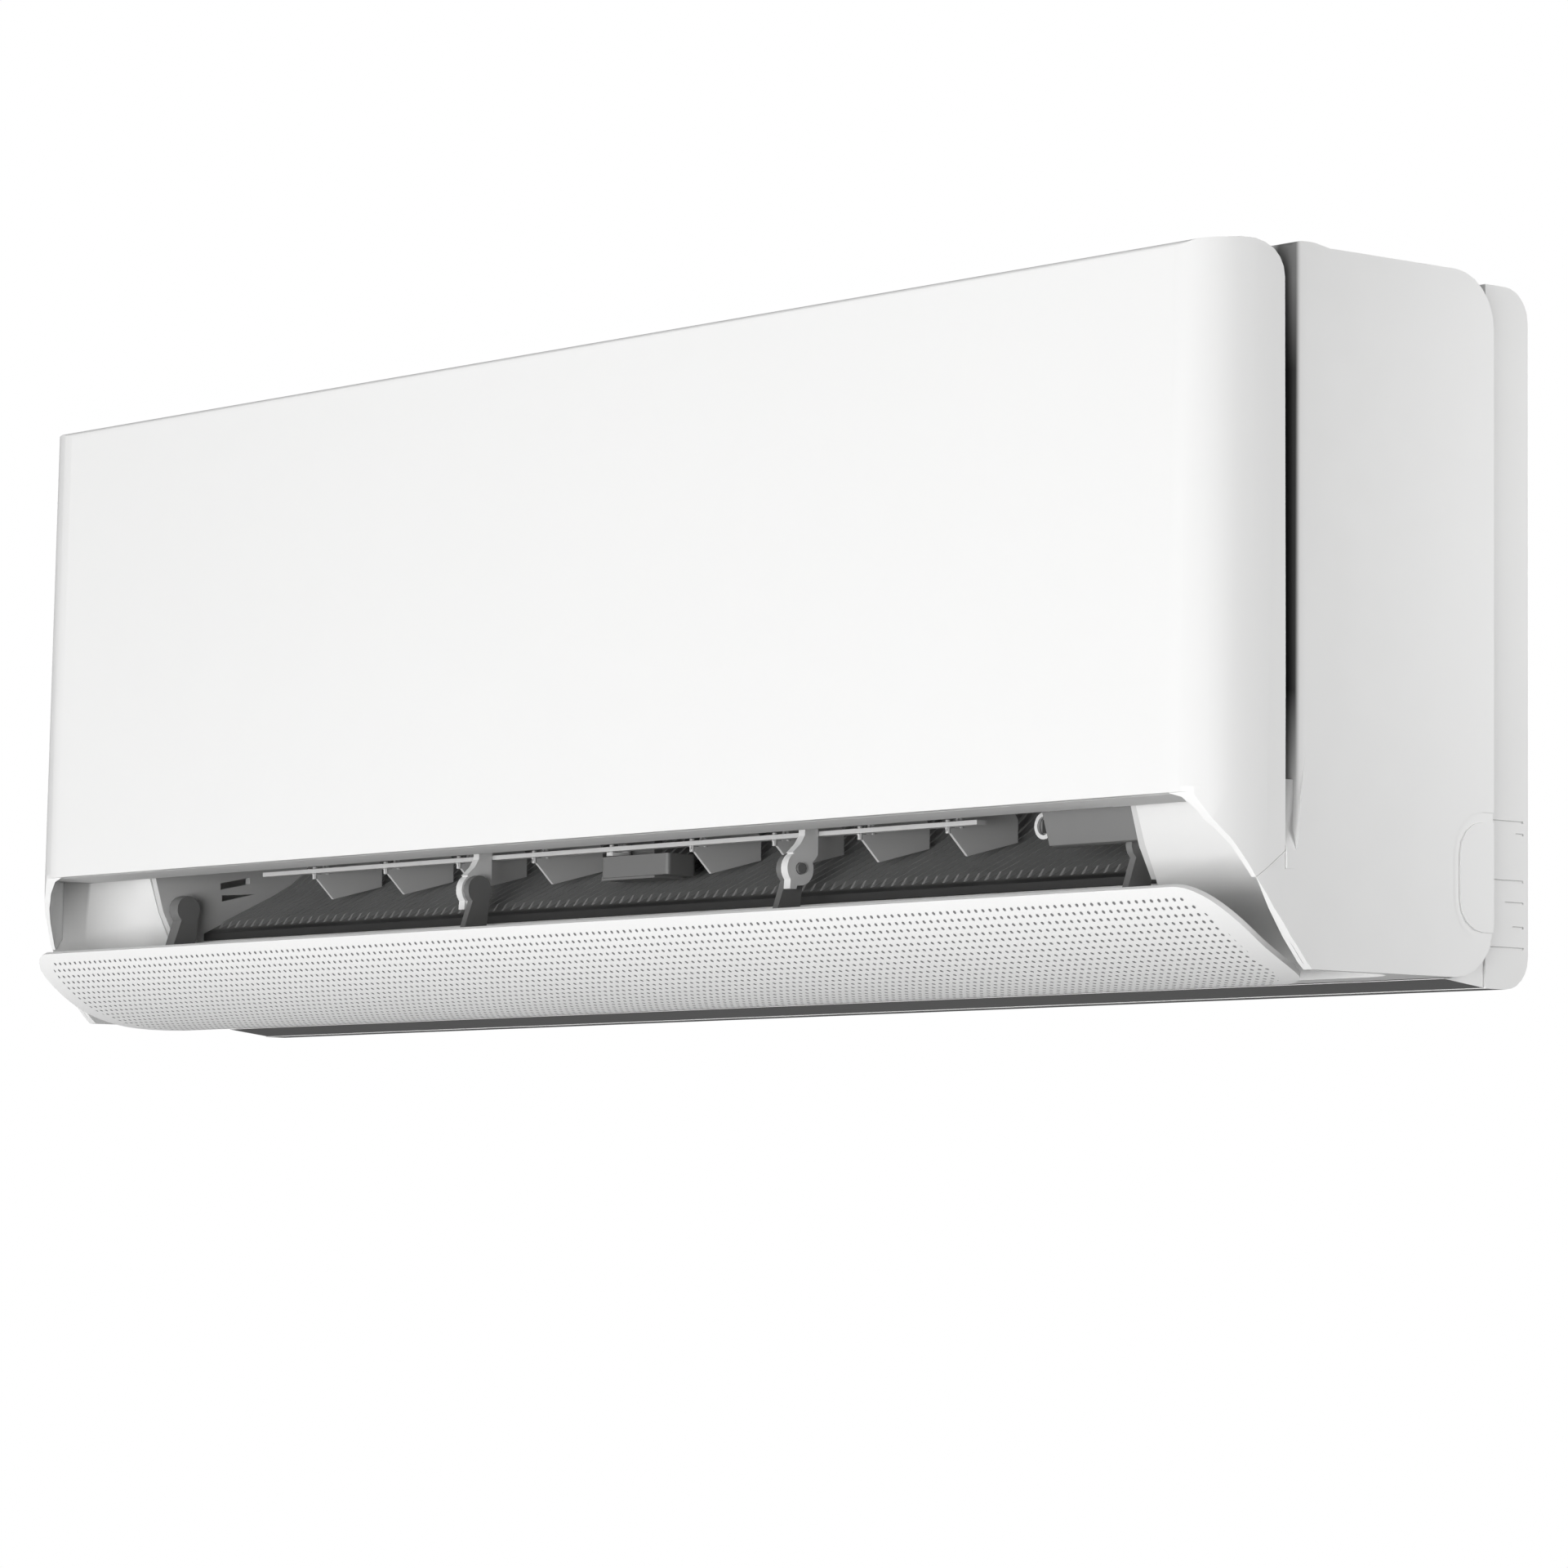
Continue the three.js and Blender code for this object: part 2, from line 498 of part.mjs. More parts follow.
function frontFrame() {
  const half = WIDTH / 2;
  const belowPanel = cut(chin(0), [
    alongX([[FRONT - OUTSIDE, 120], [FRONT - OUTSIDE, 46 - SEAT], [FRONT + 21, 46 - SEAT],
      [PANEL_BACK, 58 - SEAT], [CASE_FRONT, 58 - SEAT], [CASE_FRONT + 8, 120]], -half, half)]);
  // Liner inside the panel's legs, down to the cheeks.
  const liner = chin(SHELL + SEAT).subtract(alongX([[FRONT - OUTSIDE, 40], [FRONT - OUTSIDE, 120],
    [CASE_BACK, 120],
    [CASE_BACK, PANEL_EDGE_Z + 6], [FRONT + 13, PANEL_EDGE_Z + 6], [FRONT + 13, PANEL_EDGE_Z - SEAT],
    [FRONT + 3, PANEL_EDGE_Z - SEAT], [FRONT + 24, 46], [FRONT + 28, 40]], -half, half));
  const outer = joined([casing(0), neck(0), belowPanel, liner]);
  const chinInside = cut(chin(SHELL), [
    alongX([[FRONT - OUTSIDE, 120], [FRONT - OUTSIDE, 40], [FRONT + 21, 40], [PANEL_BACK, 52],
      [CASE_FRONT, 52], [CASE_FRONT + 12, 120]], -half, half)]);
  const hollow = joined([casing(SHELL), neck(SHELL), chinInside]).subtract(recess(SHELL));
  const ductMouth = box(DUCT_LEFT - DUCT_WALL - SEAT, DUCT_RIGHT + DUCT_WALL + SEAT,
    FRONT + 40, FRONT + 92, LIP_Z - LIP_THICK - SEAT, RECESS_TOP + 5);
  const window = box(-half + 40, half - 40, FRONT, FRONT + 25, 112, NECK_TOP - 14);
  const rearOpening = alongY(rounded([[-half + 12, 18, 15], [half - 12, 18, 15],
    [half - 12, CASE_TOP - 22, 15], [-half + 12, CASE_TOP - 22, 15]]), CASE_BACK - 10, CASE_BACK + 5);
  const filterSlots = [-1, 1].map((side) => {
    const [x0, x1] = filterSpan(side);
    return box(x0 - 1, x1 + 1, FILTER_SLOT_Y, FILTER_SLOT_Y + FILTER_SLOT, CASE_TOP - 12, CASE_TOP + 5);
  });
  const ears = [-1, 1].map((side) => alongX(
    [[HINGE_Y - 4.5, NECK_TOP - 1], [HINGE_Y - 4.5, HINGE_Z + 1], [HINGE_Y - 2, HINGE_Z + 4],
      [HINGE_Y + 2, HINGE_Z + 4], [HINGE_Y + 4.5, HINGE_Z + 1], [HINGE_Y + 4.5, NECK_TOP - 1]],
    side * HINGE_X - HINGE_EAR / 2, side * HINGE_X + HINGE_EAR / 2)
    .subtract(rodX(HINGE_Y, HINGE_Z, HINGE_PIN + RUN, side * HINGE_X - 4, side * HINGE_X + 4, 12)));
  const shell = cut(outer, [hollow, recess(0), alongX(cheekCut, -half, half), ductMouth, window,
    rearOpening,
    grille(), ...filterSlots, knockout(1), knockout(-1)]);
  return whole(joined([shell, ...ears, grooveRamp(1).subtract(recess(0)),
    grooveRamp(-1).subtract(recess(0))]));
}

// ---- rear chassis --------------------------------------------------------------------------------
const STRIP_HALF = WIDTH / 2 - STRIP_INSET;
const STRIP_TOP = HEIGHT - STRIP_TOP_DROP;
const CHANNEL_FLOOR = STRIP_FLOOR + CHASSIS_WALL;
const LIP_TOP = 16; // low wall that hides the channel from below
const GUTTER_Z = FAN_Z + FAN_RADIUS + 2;

// Underside of the duct's floor, from the top of the scroll to the lip.
function floorUnderside(gap) {
  const slope = offset(scrollLine, FLOOR_THICK + gap).slice(0, -1);
  return [...slope, new THREE.Vector2(LIP_Y + 7 + gap * 3, LIP_Z - LIP_THICK)];
}

// Shallow lines on the strip beside the knock-out.
function stripMarks(side) {
  const [x0, x1] = [side * (STRIP_HALF - 0.6), side * (STRIP_HALF + 1)].sort((a, b) => a - b);
  return [[21.5, 30], [30.9, 7], [41.8, 12], [51.6, 30], [72.7, 5], [78.2, 30]]
    .map(([z, long]) => box(x0, x1, -3 - long, -3, z - 0.5, z + 0.5));
}

// Lies under the frame's rounded rear edge, so that the underside runs on to the wall.
function undersideWedge() {
  const [middleY, middleZ] = [CASE_BACK - CASE_REAR_RADIUS, CASE_FLOOR + CASE_REAR_RADIUS];
  const radius = CASE_REAR_RADIUS + SEAT;
  const lowest = -Math.PI / 2;
  const highest = Math.asin((LIP_TOP - middleZ) / radius);
  const arc = Array.from({ length: ARC_STEPS + 1 }, (_, i) => {
    const angle = lowest + ((highest - lowest) * i) / ARC_STEPS;
    return [middleY + radius * Math.cos(angle), middleZ + radius * Math.sin(angle)];
  });
  const back = CASE_BACK + SEAT + CHASSIS_WALL;
  return [[back, STRIP_FLOOR], [middleY, CASE_FLOOR - 2 * SEAT], ...arc, [back, LIP_TOP]];
}

function rearChassis() {
  const rim = alongX(rounded([[0, STRIP_FLOOR, STRIP_RADIUS], [0, STRIP_TOP, STRIP_RADIUS],
    [CASE_BACK + SEAT, STRIP_TOP], [CASE_BACK + SEAT, STRIP_FLOOR]]), -STRIP_HALF, STRIP_HALF);
  const inside = STRIP_HALF - CHASSIS_WALL;
  const tray = rim.subtract(box(-inside, inside, CASE_BACK - 5, -BACK_WALL,
    STRIP_FLOOR + CHASSIS_WALL, STRIP_TOP - CHASSIS_WALL));
  const under = floorUnderside(SEAT);
  const core = alongX([...under, [LIP_Y + 30, CHANNEL_TOP + CHASSIS_WALL],
    [-BACK_WALL + 2, CHANNEL_TOP + CHASSIS_WALL], [-BACK_WALL + 2, GUTTER_Z],
    [under[0].x + 5, GUTTER_Z - 2], [under[0].x + 2, GUTTER_Z + 2]], DUCT_LEFT + SEAT, DUCT_RIGHT - SEAT);
  const channel = joined([box(-inside, inside, -CHANNEL_DEEP, 5, LIP_TOP, CHANNEL_TOP),
    box(-inside, inside, CASE_BACK + 5, 5, CHANNEL_FLOOR, CHANNEL_TOP)]);
  const plateBed = box(-PLATE_HALF - 6, PLATE_HALF + 6, -HOOK_REACH - SEAT, 5,
    PLATE_CENTRE_Z - PLATE_TALL / 2 - 6, PLATE_CENTRE_Z + PLATE_TALL / 2 + 6);
  const wedge = alongX(undersideWedge(), -STRIP_HALF + 1, STRIP_HALF - 1);
  return cut(joined([tray, core, wedge]), [channel, plateBed, ...stripMarks(1), ...stripMarks(-1)]);
}

function ductFloor() {
  const lip = new THREE.Vector2(LIP_Y, LIP_Z - LIP_THICK);
  return alongX([...scrollLine, lip, ...floorUnderside(0).reverse()], DUCT_LEFT + SEAT, DUCT_RIGHT - SEAT);
}

// ---- drain pan with the duct's roof and end walls --------------------------------------------------
const ROOF_Z = RECESS_TOP + 0.5;
const STEM_TOP = 103.3; // vane stems end in the pan
const TONGUE_START = THREE.MathUtils.degToRad(252);
const TONGUE_END = THREE.MathUtils.degToRad(203);
const ROOF_LINE = [[FRONT + 43.5, ROOF_Z + 2], [FRONT + 45, ROOF_Z], [FRONT + 67, ROOF_Z],
  [FRONT + 88, 94], [FAN_Y - 16, 101]];

function tonguePoints(radius) {
  return Array.from({ length: 7 }, (_, i) => {
    const angle = TONGUE_START + ((TONGUE_END - TONGUE_START) * i) / 6;
    return [FAN_Y + radius * Math.cos(angle), FAN_Z + radius * Math.sin(angle)];
  });
}

const vaneX = (i) => VANE_MIDDLE_X + (i - VANE_DRIVE) * VANE_PITCH;
const vaneSlots = Array.from({ length: VANE_COUNT }, (_, i) => i).filter((i) => i !== VANE_DRIVE);

function drainPan() {
  const near = tonguePoints(FAN_RADIUS + TONGUE_GAP);
  const far = tonguePoints(FAN_RADIUS + TONGUE_GAP + 3).filter(([, z]) => z > PAN_FLOOR + 2).reverse();
  const section = [...ROOF_LINE, ...near, ...far, [FRONT + 58, PAN_FLOOR], [PAN_FRONT_Y + 3, PAN_FLOOR],
    [PAN_FRONT_Y + 3, PAN_RIM], [PAN_FRONT_Y, PAN_RIM], [PAN_FRONT_Y, ROOF_Z + 3]];
  const trough = alongX(section, DUCT_LEFT - DUCT_WALL, DUCT_RIGHT + DUCT_WALL);
  const wallShape = [[FRONT + 53.5, ROOF_Z + 2], [FRONT + 61.3, 67], [FRONT + 69.2, LIP_Z - LIP_THICK],
    [-BACK_WALL - SEAT, LIP_Z - LIP_THICK], [-BACK_WALL - SEAT, 190], [FAN_Y + 30, 211],
    [FAN_Y - 20, 211], [FRONT + 72, 185], [FRONT + 68, 140], [FRONT + 68, 104]];
  const holes = [rodX(FAN_Y, FAN_Z, 12, DUCT_LEFT - 10, DUCT_RIGHT + 10, 20),
    rodX(EYE_Y, EYE_Z, EYE_PIN + RUN, DUCT_LEFT - 10, DUCT_RIGHT + 10, 12)];
  const walls = [
    alongX(wallShape, DUCT_LEFT - DUCT_WALL, DUCT_LEFT), alongX(wallShape, DUCT_RIGHT,
      DUCT_RIGHT + DUCT_WALL),
  ];
  const ends = [
    box(DUCT_LEFT - DUCT_WALL, DUCT_LEFT - DUCT_WALL + 3, PAN_FRONT_Y, FRONT + 66, PAN_FLOOR - 2, PAN_RIM),
    box(DUCT_RIGHT + DUCT_WALL - 3, DUCT_RIGHT + DUCT_WALL, PAN_FRONT_Y, FRONT + 66, PAN_FLOOR - 2,
      PAN_RIM),
  ];
  const pockets = vaneSlots.map((i) =>
    rodZ(vaneX(i), VANE_PIVOT_Y, VANE_PIN + RUN, 80, STEM_TOP + SEAT, 8));
  const notches = vaneSlots.map((i) => box(vaneX(i) - 14, vaneX(i) + 11, VANE_PIVOT_Y - 7, VANE_PIVOT_Y + 4,
    ROOF_Z - 5, STEM_TOP - 3));
  const wallSlots = [[[-93, 80.5], [-73.5, 84.5], [-73.5, 88], [-93, 84]], [[-92, 74], [-70, 79],
    [-92, 77.5]]]
    .map((shape) => alongX(shape, DUCT_LEFT - DUCT_WALL - 1, DUCT_LEFT + 1));
  return cut(joined([trough, ...walls, ...ends]), [...holes, ...pockets, ...notches, ...wallSlots]);
}

// ---- vanes and their linkage --------------------------------------------------------------------------
function vane(x) {
  const blade = alongX([[VANE_PIVOT_Y - VANE_LEVER - 1.5, BAR_Z - SEAT], [FRONT + 98, 71], [FAN_Y + 15, 79],
    [FAN_Y + 15, 90], [FAN_Y + 11, 96], [FRONT + 105, 96], [VANE_PIVOT_Y + 2, 91],
    [VANE_PIVOT_Y - 2, 91], [VANE_PIVOT_Y - 3.2, BAR_Z - SEAT]], x - VANE_THICK / 2, x + VANE_THICK / 2);
  const stem = rodZ(x, VANE_PIVOT_Y, VANE_PIN, 84, STEM_TOP, 10);
  const peg = rodZ(x, VANE_PIVOT_Y - VANE_LEVER, 1.2, BAR_Z - 3, BAR_Z + BAR_THICK + 1.2, 8);
  return joined([blade, stem, peg]);
}

function tieBar() {
  const barY = VANE_PIVOT_Y - VANE_LEVER;
  const strip = box(vaneX(0) - 44, vaneX(VANE_COUNT - 1) + 23, barY - 2.5, barY - 2.5 + BAR_WIDE,
    BAR_Z, BAR_Z + BAR_THICK);
  const slot = (x) => box(x - 1.75, x + 1.75, barY - 1.5, barY + 2.3, BAR_Z - 1, BAR_Z + BAR_THICK + 1);
  return cut(strip, Array.from({ length: VANE_COUNT }, (_, i) => slot(vaneX(i))));
}

// Cover over the right end of the linkage, flush with the recess.
const COVER_LEFT = DUCT_RIGHT - 59;
const COVER_BOSS_Z = 79;
const COVER_BOSS_RADIUS = 6.3;

function ductEndCover() {
  const body = alongX([[FRONT + 54.5, ROOF_Z - SEAT], [FRONT + 57.5, 81], [FRONT + 61, 69.5],
    [FRONT + 66, 68.5],
    [FRONT + 80, 72], [FRONT + 84, ROOF_Z - SEAT]], COVER_LEFT, DUCT_RIGHT - SEAT);
  const boss = alongY(circle(COVER_LEFT - 4, COVER_BOSS_Z, COVER_BOSS_RADIUS, 20), FRONT + 64, FRONT + 78);
  const bore = alongY([[-3, -3], [3, -3], [3, 3], [-3, 3]].map(([x, z]) =>
    [x + COVER_LEFT - 5, z + COVER_BOSS_Z]),
    FRONT + 60, FRONT + 74);
  const aroundHub = rodX(EYE_Y, EYE_Z, HUB_RADIUS + 1, LUG_RIGHT_X - 4, DUCT_RIGHT + 1, 20);
  return cut(body.add(boss), [bore, aroundHub]);
}

function coverClip() {
  const ring = alongY(circle(COVER_LEFT - 5, COVER_BOSS_Z, COVER_BOSS_RADIUS, 20), FRONT + 62,
    FRONT + 64 - SEAT)
    .subtract(alongY(circle(COVER_LEFT - 5, COVER_BOSS_Z, COVER_BOSS_RADIUS - 2, 16), FRONT, FRONT + 70));
  return ring.subtract(box(COVER_LEFT - SEAT, COVER_LEFT + 20, FRONT, 0, 0, HEIGHT));
}

const MOTOR_FLOOR = 71;

function vaneMotor() {
  const x = VANE_MIDDLE_X;
  const front = VANE_PIVOT_Y - 10;
  const back = VANE_PIVOT_Y + 12;
  const body = alongZ(rounded([[x - 9, front, 5], [x + 47, front, 2], [x + 44, back, 5],
    [x - 6, back, 5]], 4), MOTOR_FLOOR, BAR_Z - 2.7);
  const foot = box(x - 8, x + 34, front + 2, back - 2, MOTOR_FLOOR - 1.2, MOTOR_FLOOR + 1);
  const bracket = alongX([[back - 8, BAR_Z - 4], [back - 8, 99.5], [back - 5, 102.5], [back - 3, 102.5],
    [back - 3, BAR_Z - 4]], x - 5, x + 19);
  const roof = alongX([[FRONT + 88, 94 - SEAT], [FAN_Y - 16, 101 - SEAT], [FAN_Y - 16, HEIGHT],
    [FRONT + 88, HEIGHT]], x - 10, x + 20);
  return joined([body, foot, bracket.subtract(roof)]);
}

function vaneCrank() {
  const x = VANE_MIDDLE_X;
  const arm = alongZ(rounded([[x - 3.5, VANE_PIVOT_Y + 3.5, 3],
    [x - 2.4, VANE_PIVOT_Y - VANE_LEVER - 2.4, 2],
    [x + 2.4, VANE_PIVOT_Y - VANE_LEVER - 2.4, 2], [x + 3.5, VANE_PIVOT_Y + 3.5, 3]].reverse(), 3), 82,
      83.8);
  const hub = rodZ(x, VANE_PIVOT_Y, 3.2, 81.8, 88, 12);
  const peg = rodZ(x, VANE_PIVOT_Y - VANE_LEVER, 1.2, 83, BAR_Z + BAR_THICK + 1.2, 8);
  return joined([arm, hub, peg]);
}

// ---- flap, its carrier and the arms that hold it --------------------------------------------
function deflectorFlap() {
  const half = FLAP_HALF;
  const strip = alongX(band(flapLine, FLAP_THICK), -half, half);
  const front = rounded([[-half, -OUTSIDE], [half, -OUTSIDE], [half, FLAP_TOP_Z, FLAP_RIGHT_RADIUS],
    [-half, FLAP_TOP_Z, FLAP_LEFT_RADIUS]], 8);
  const plan = rounded([[-half, FRONT - OUTSIDE], [half, FRONT - OUTSIDE], [half, FLAP_CUT_Y, 30],
    [half - FLAP_CUT_LONG, FRONT + 76], [FLAP_CUT_LONG - half, FRONT + 76], [-half, FLAP_CUT_Y, 30]], 5);
  return strip.intersect(alongY(front, FRONT - OUTSIDE, 0)).intersect(alongZ(plan, -OUTSIDE,
    FLAP_TOP_Z + 1));
}

const HUB_LONG = 8;
const RIB_HALF = FLAP_HALF - 30;

function flapCarrier() {
  const inner = offset(flapLine, FLAP_THICK + SEAT);
  const rail = alongX(band(inner.slice(6, 11), 3), -RIB_HALF, RIB_HALF);
  const [a, b] = [inner[7], inner[10]];
  const lug = (x0, x1) => alongX([[EYE_Y - HUB_RADIUS * 0.9, EYE_Z - 2.5], [a.x + 1, a.y + 2],
    [b.x, b.y + 2.5],
    [EYE_Y + HUB_RADIUS * 0.95, EYE_Z - 2]], x0, x1).add(rodX(EYE_Y, EYE_Z, HUB_RADIUS, x0, x1, 16));
  const besideLeft = ARM_LEFT_X + ARM_THICK / 2 + 0.6;
  const besideRight = ARM_RIGHT_X - ARM_THICK / 2 - 0.6;
  const body = joined([rail,
    lug(LUG_LEFT_X, LUG_LEFT_X + HUB_LONG),
    lug(besideLeft, besideLeft + LUG_THICK), rodX(EYE_Y, EYE_Z, EYE_PIN, besideLeft - ARM_THICK - 2,
      besideLeft + 1, 12),
    lug(besideRight - LUG_THICK, besideRight), rodX(EYE_Y, EYE_Z, EYE_PIN, besideRight - 1,
      besideRight + ARM_THICK + 2, 12),
    lug(LUG_RIGHT_X, LUG_RIGHT_X + LUG_THICK)]);
  return cut(body, [rodX(EYE_Y, EYE_Z, EYE_PIN + RUN, LUG_LEFT_X - 1, LUG_LEFT_X + 6, 12),
    rodX(EYE_Y, EYE_Z, EYE_PIN + SEAT, LUG_RIGHT_X - 1, LUG_RIGHT_X + LUG_THICK + 1, 12)]);
}

function supportArm(x) {
  const stemBack = EYE_Y + 11;
  const stemFront = EYE_Y + 3;
  const stem = alongX([[stemFront, 91], [stemFront - 0.4, 84], [stemFront - 3, 80], [EYE_Y - 5, 75.5],
    [EYE_Y + 6, 70], [stemBack - 2, 72.5], [stemBack, 75], [stemBack, 91.8]],
  x - ARM_THICK / 2, x + ARM_THICK / 2);
  const ring = rodX(EYE_Y, EYE_Z, EYE_RADIUS, x - ARM_THICK / 2, x + ARM_THICK / 2, 28);
  const barb = alongX([[EYE_Y - 6, EYE_Z - 4], [EYE_Y - 6.5, EYE_Z - 10], [EYE_Y - 2.5, EYE_Z - 10],
    [EYE_Y - 1.5, EYE_Z - 7]], x - ARM_THICK / 2, x + ARM_THICK / 2);
  return joined([stem, ring, barb]).subtract(rodX(EYE_Y, EYE_Z, EYE_PIN + RUN, x - 9, x + 9, 16));
}

function flapMotor() {
  const x1 = DUCT_LEFT - DUCT_WALL - SHELL - SEAT;
  const can = rodX(EYE_Y + 8, EYE_Z, 14, x1 - 19, x1, 24);
  const ears = alongX(rounded([[EYE_Y + 4, EYE_Z - 21, 3], [EYE_Y + 12, EYE_Z - 21, 3],
    [EYE_Y + 12, EYE_Z + 21, 3],
    [EYE_Y + 4, EYE_Z + 21, 3]], 3), x1 - 1.5, x1);
  const shaft = rodX(EYE_Y, EYE_Z, EYE_PIN - 0.1, x1 - 2, LUG_LEFT_X + 5, 12);
  return joined([can, ears, shaft]);
}

// ---- crossflow fan --------------------------------------------------------------------------
const FAN_LEFT = DUCT_LEFT + FAN_END_GAP;
const FAN_RIGHT = DUCT_RIGHT - FAN_END_GAP;

function fanBlade() {
  const outer = FAN_RADIUS - 1;
  const inner = outer - BLADE_CHORD;
  const lead = THREE.MathUtils.degToRad(14);
  const at = (radius, angle) => new THREE.Vector2(radius * Math.cos(angle), radius * Math.sin(angle));
  const middle = at((outer + inner) / 2 + 1, lead * 0.2);
  const line = [at(outer, lead), middle, at(inner, 0)];
  return band(line, BLADE_THICK);
}

function crossflowFan() {
  const blade = fanBlade();
  const pieces = [];
  for (let i = 0; i < FAN_BLADES; i += 1) {
    const turn = (2 * Math.PI * i) / FAN_BLADES;
    const points = blade.map((p) => p.clone().rotateAround(new THREE.Vector2(), turn));
    pieces.push(alongX(points, FAN_LEFT + 1, FAN_RIGHT - 1));
  }
  for (let i = 0; i <= FAN_SECTIONS; i += 1) {
    const x = FAN_LEFT + ((FAN_RIGHT - FAN_LEFT - DISC_THICK) * i) / FAN_SECTIONS;
    const disc = rodX(0, 0, FAN_RADIUS, x, x + DISC_THICK, 24);
    const open = i > 0 && i < FAN_SECTIONS;
    const eye = rodX(0, 0, FAN_RADIUS - BLADE_CHORD - 5, x - 1, x + DISC_THICK + 1, 16);
    pieces.push(open ? disc.subtract(eye) : disc);
  }
  pieces.push(rodX(0, 0, 9, FAN_RIGHT - 14, FAN_RIGHT, 16));
  const hub = rodX(0, 0, FAN_SHAFT + RUN / 10, FAN_RIGHT - 12, FAN_RIGHT + 1, 16);
  const stub = rodX(0, 0, FAN_SHAFT + RUN / 10, FAN_LEFT - 1, FAN_LEFT + DISC_THICK + 1, 16);
  return cut(joined(pieces), [hub, stub]).translate([0, FAN_Y, FAN_Z]);
}

// ---- fan drive ------------------------------------------------------------------------------------------
const MOTOR_RADIUS = FAN_RADIUS - 7;
const MOTOR_LONG = 62;
const MOTOR_X = DUCT_RIGHT + DUCT_WALL + 8;

const fanAxisRod = (radius, from, to, steps = 24) => rodX(FAN_Y, FAN_Z, radius, from, to, steps);

function fanMotor() {
  const can = joined([fanAxisRod(MOTOR_RADIUS, MOTOR_X + 8, MOTOR_X + MOTOR_LONG - 8, 28),
    fanAxisRod(MOTOR_RADIUS - 8, MOTOR_X + 2, MOTOR_X + MOTOR_LONG - 2, 24),
    fanAxisRod(11, MOTOR_X, MOTOR_X + MOTOR_LONG, 16)]);
  return can.subtract(fanAxisRod(FAN_SHAFT + RUN, MOTOR_X - 1, MOTOR_X + MOTOR_LONG - 6, 16));
}

function motorBand() {
  const top = FAN_Z + MOTOR_RADIUS + 4;
  const outline = rounded([[FAN_Y - MOTOR_RADIUS - 3, FAN_Z + 6],
    [FAN_Y - MOTOR_RADIUS - 3, top, MOTOR_RADIUS - 4],
    [FAN_Y + MOTOR_RADIUS + 4, top, MOTOR_RADIUS - 4], [FAN_Y + MOTOR_RADIUS + 4, FAN_Z + 6]], 10);
  const x0 = MOTOR_X + 20;
  return alongX(outline, x0, x0 + 22).subtract(fanAxisRod(MOTOR_RADIUS + SEAT, x0 - 1, x0 + 30, 48));
}

function motorCradle() {
  const x0 = MOTOR_X + 12;
  const block = box(x0, x0 + 38, FAN_Y - MOTOR_RADIUS - 3, -BACK_WALL - SEAT, CHANNEL_TOP + 18,
    FAN_Z + 5.4);
  const roomy = box(x0 + 4, x0 + 34, FAN_Y - MOTOR_RADIUS - 8, -BACK_WALL - 6, CHANNEL_TOP + 22,
    FAN_Z - MOTOR_RADIUS - 6);
  return cut(block, [fanAxisRod(MOTOR_RADIUS + SEAT, x0 - 1, x0 + 50, 48), roomy]);
}

// ---- heat exchanger -------------------------------------------------------------------------
const COIL_TOP_Z = HEIGHT - 40;
const frontCoil = [[FRONT + 20, PAN_FLOOR + SEAT], [FRONT + 46, PAN_FLOOR + SEAT], [FRONT + 74, COIL_TOP_Z],
  [FRONT + 48, COIL_TOP_Z + 4]];
const REAR_COIL_FOOT = FAN_Z + FAN_RADIUS + 12;
const rearCoil = [[FRONT + 82, COIL_TOP_Z - 2], [-BACK_WALL - 38, REAR_COIL_FOOT],
  [-BACK_WALL - 19, REAR_COIL_FOOT + 18], [FRONT + 101, COIL_TOP_Z + 16]];
const COIL_LEFT = DUCT_LEFT + COIL_END_GAP;
const COIL_RIGHT = DUCT_RIGHT - COIL_END_GAP;

function between(a, b, t) {
  return [a[0] + (b[0] - a[0]) * t, a[1] + (b[1] - a[1]) * t];
}

function coil(outline) {
  return alongX(outline, COIL_LEFT + END_PLATE + SEAT, COIL_RIGHT - END_PLATE - SEAT);
}

// One sheet-metal plate closes both slabs and carries the return bends.
function endPlate(side) {
  const x0 = side < 0 ? COIL_LEFT : COIL_RIGHT - END_PLATE;
  const sheet = alongX([frontCoil[0], frontCoil[1], frontCoil[2], rearCoil[0], rearCoil[1], rearCoil[2],
    rearCoil[3], frontCoil[3]].map(([y, z]) => [y, z + 0.5]), x0, x0 + END_PLATE);
  const face = side < 0 ? x0 : x0 + END_PLATE;
  const bends = [];
  for (const slab of [frontCoil, rearCoil]) {
    const rows = slab === frontCoil ? 8 : 4;
    for (let i = 0; i < rows; i += 2) {
      const [a, b] = [i, i + 1].map((k) => {
        const t = 0.1 + (0.86 * (k + 0.5)) / rows;
        const low = between(slab[0], slab[3], t);
        const high = between(slab[1], slab[2], t);
        return between(low, high, 0.5);
      });
      const out = face + side * 16;
      const middle = between(a, b, 0.5);
      const run = [[face - side, ...a], [face + side * 9, ...a], [out, ...middle],
        [face + side * 9, ...b], [face - side, ...b]];
      bends.push(tube(run, TUBE_RADIUS, 5, 6));
    }
  }
  return joined([sheet, ...bends]);
}

// ---- filters --------------------------------------------------------------------------------
const FILTER_FOOT = [FRONT + 12.5, PAN_RIM + 1];
const FILTER_HEAD = [FRONT + 54, CASE_TOP + FILTER_LIFT_TAB];

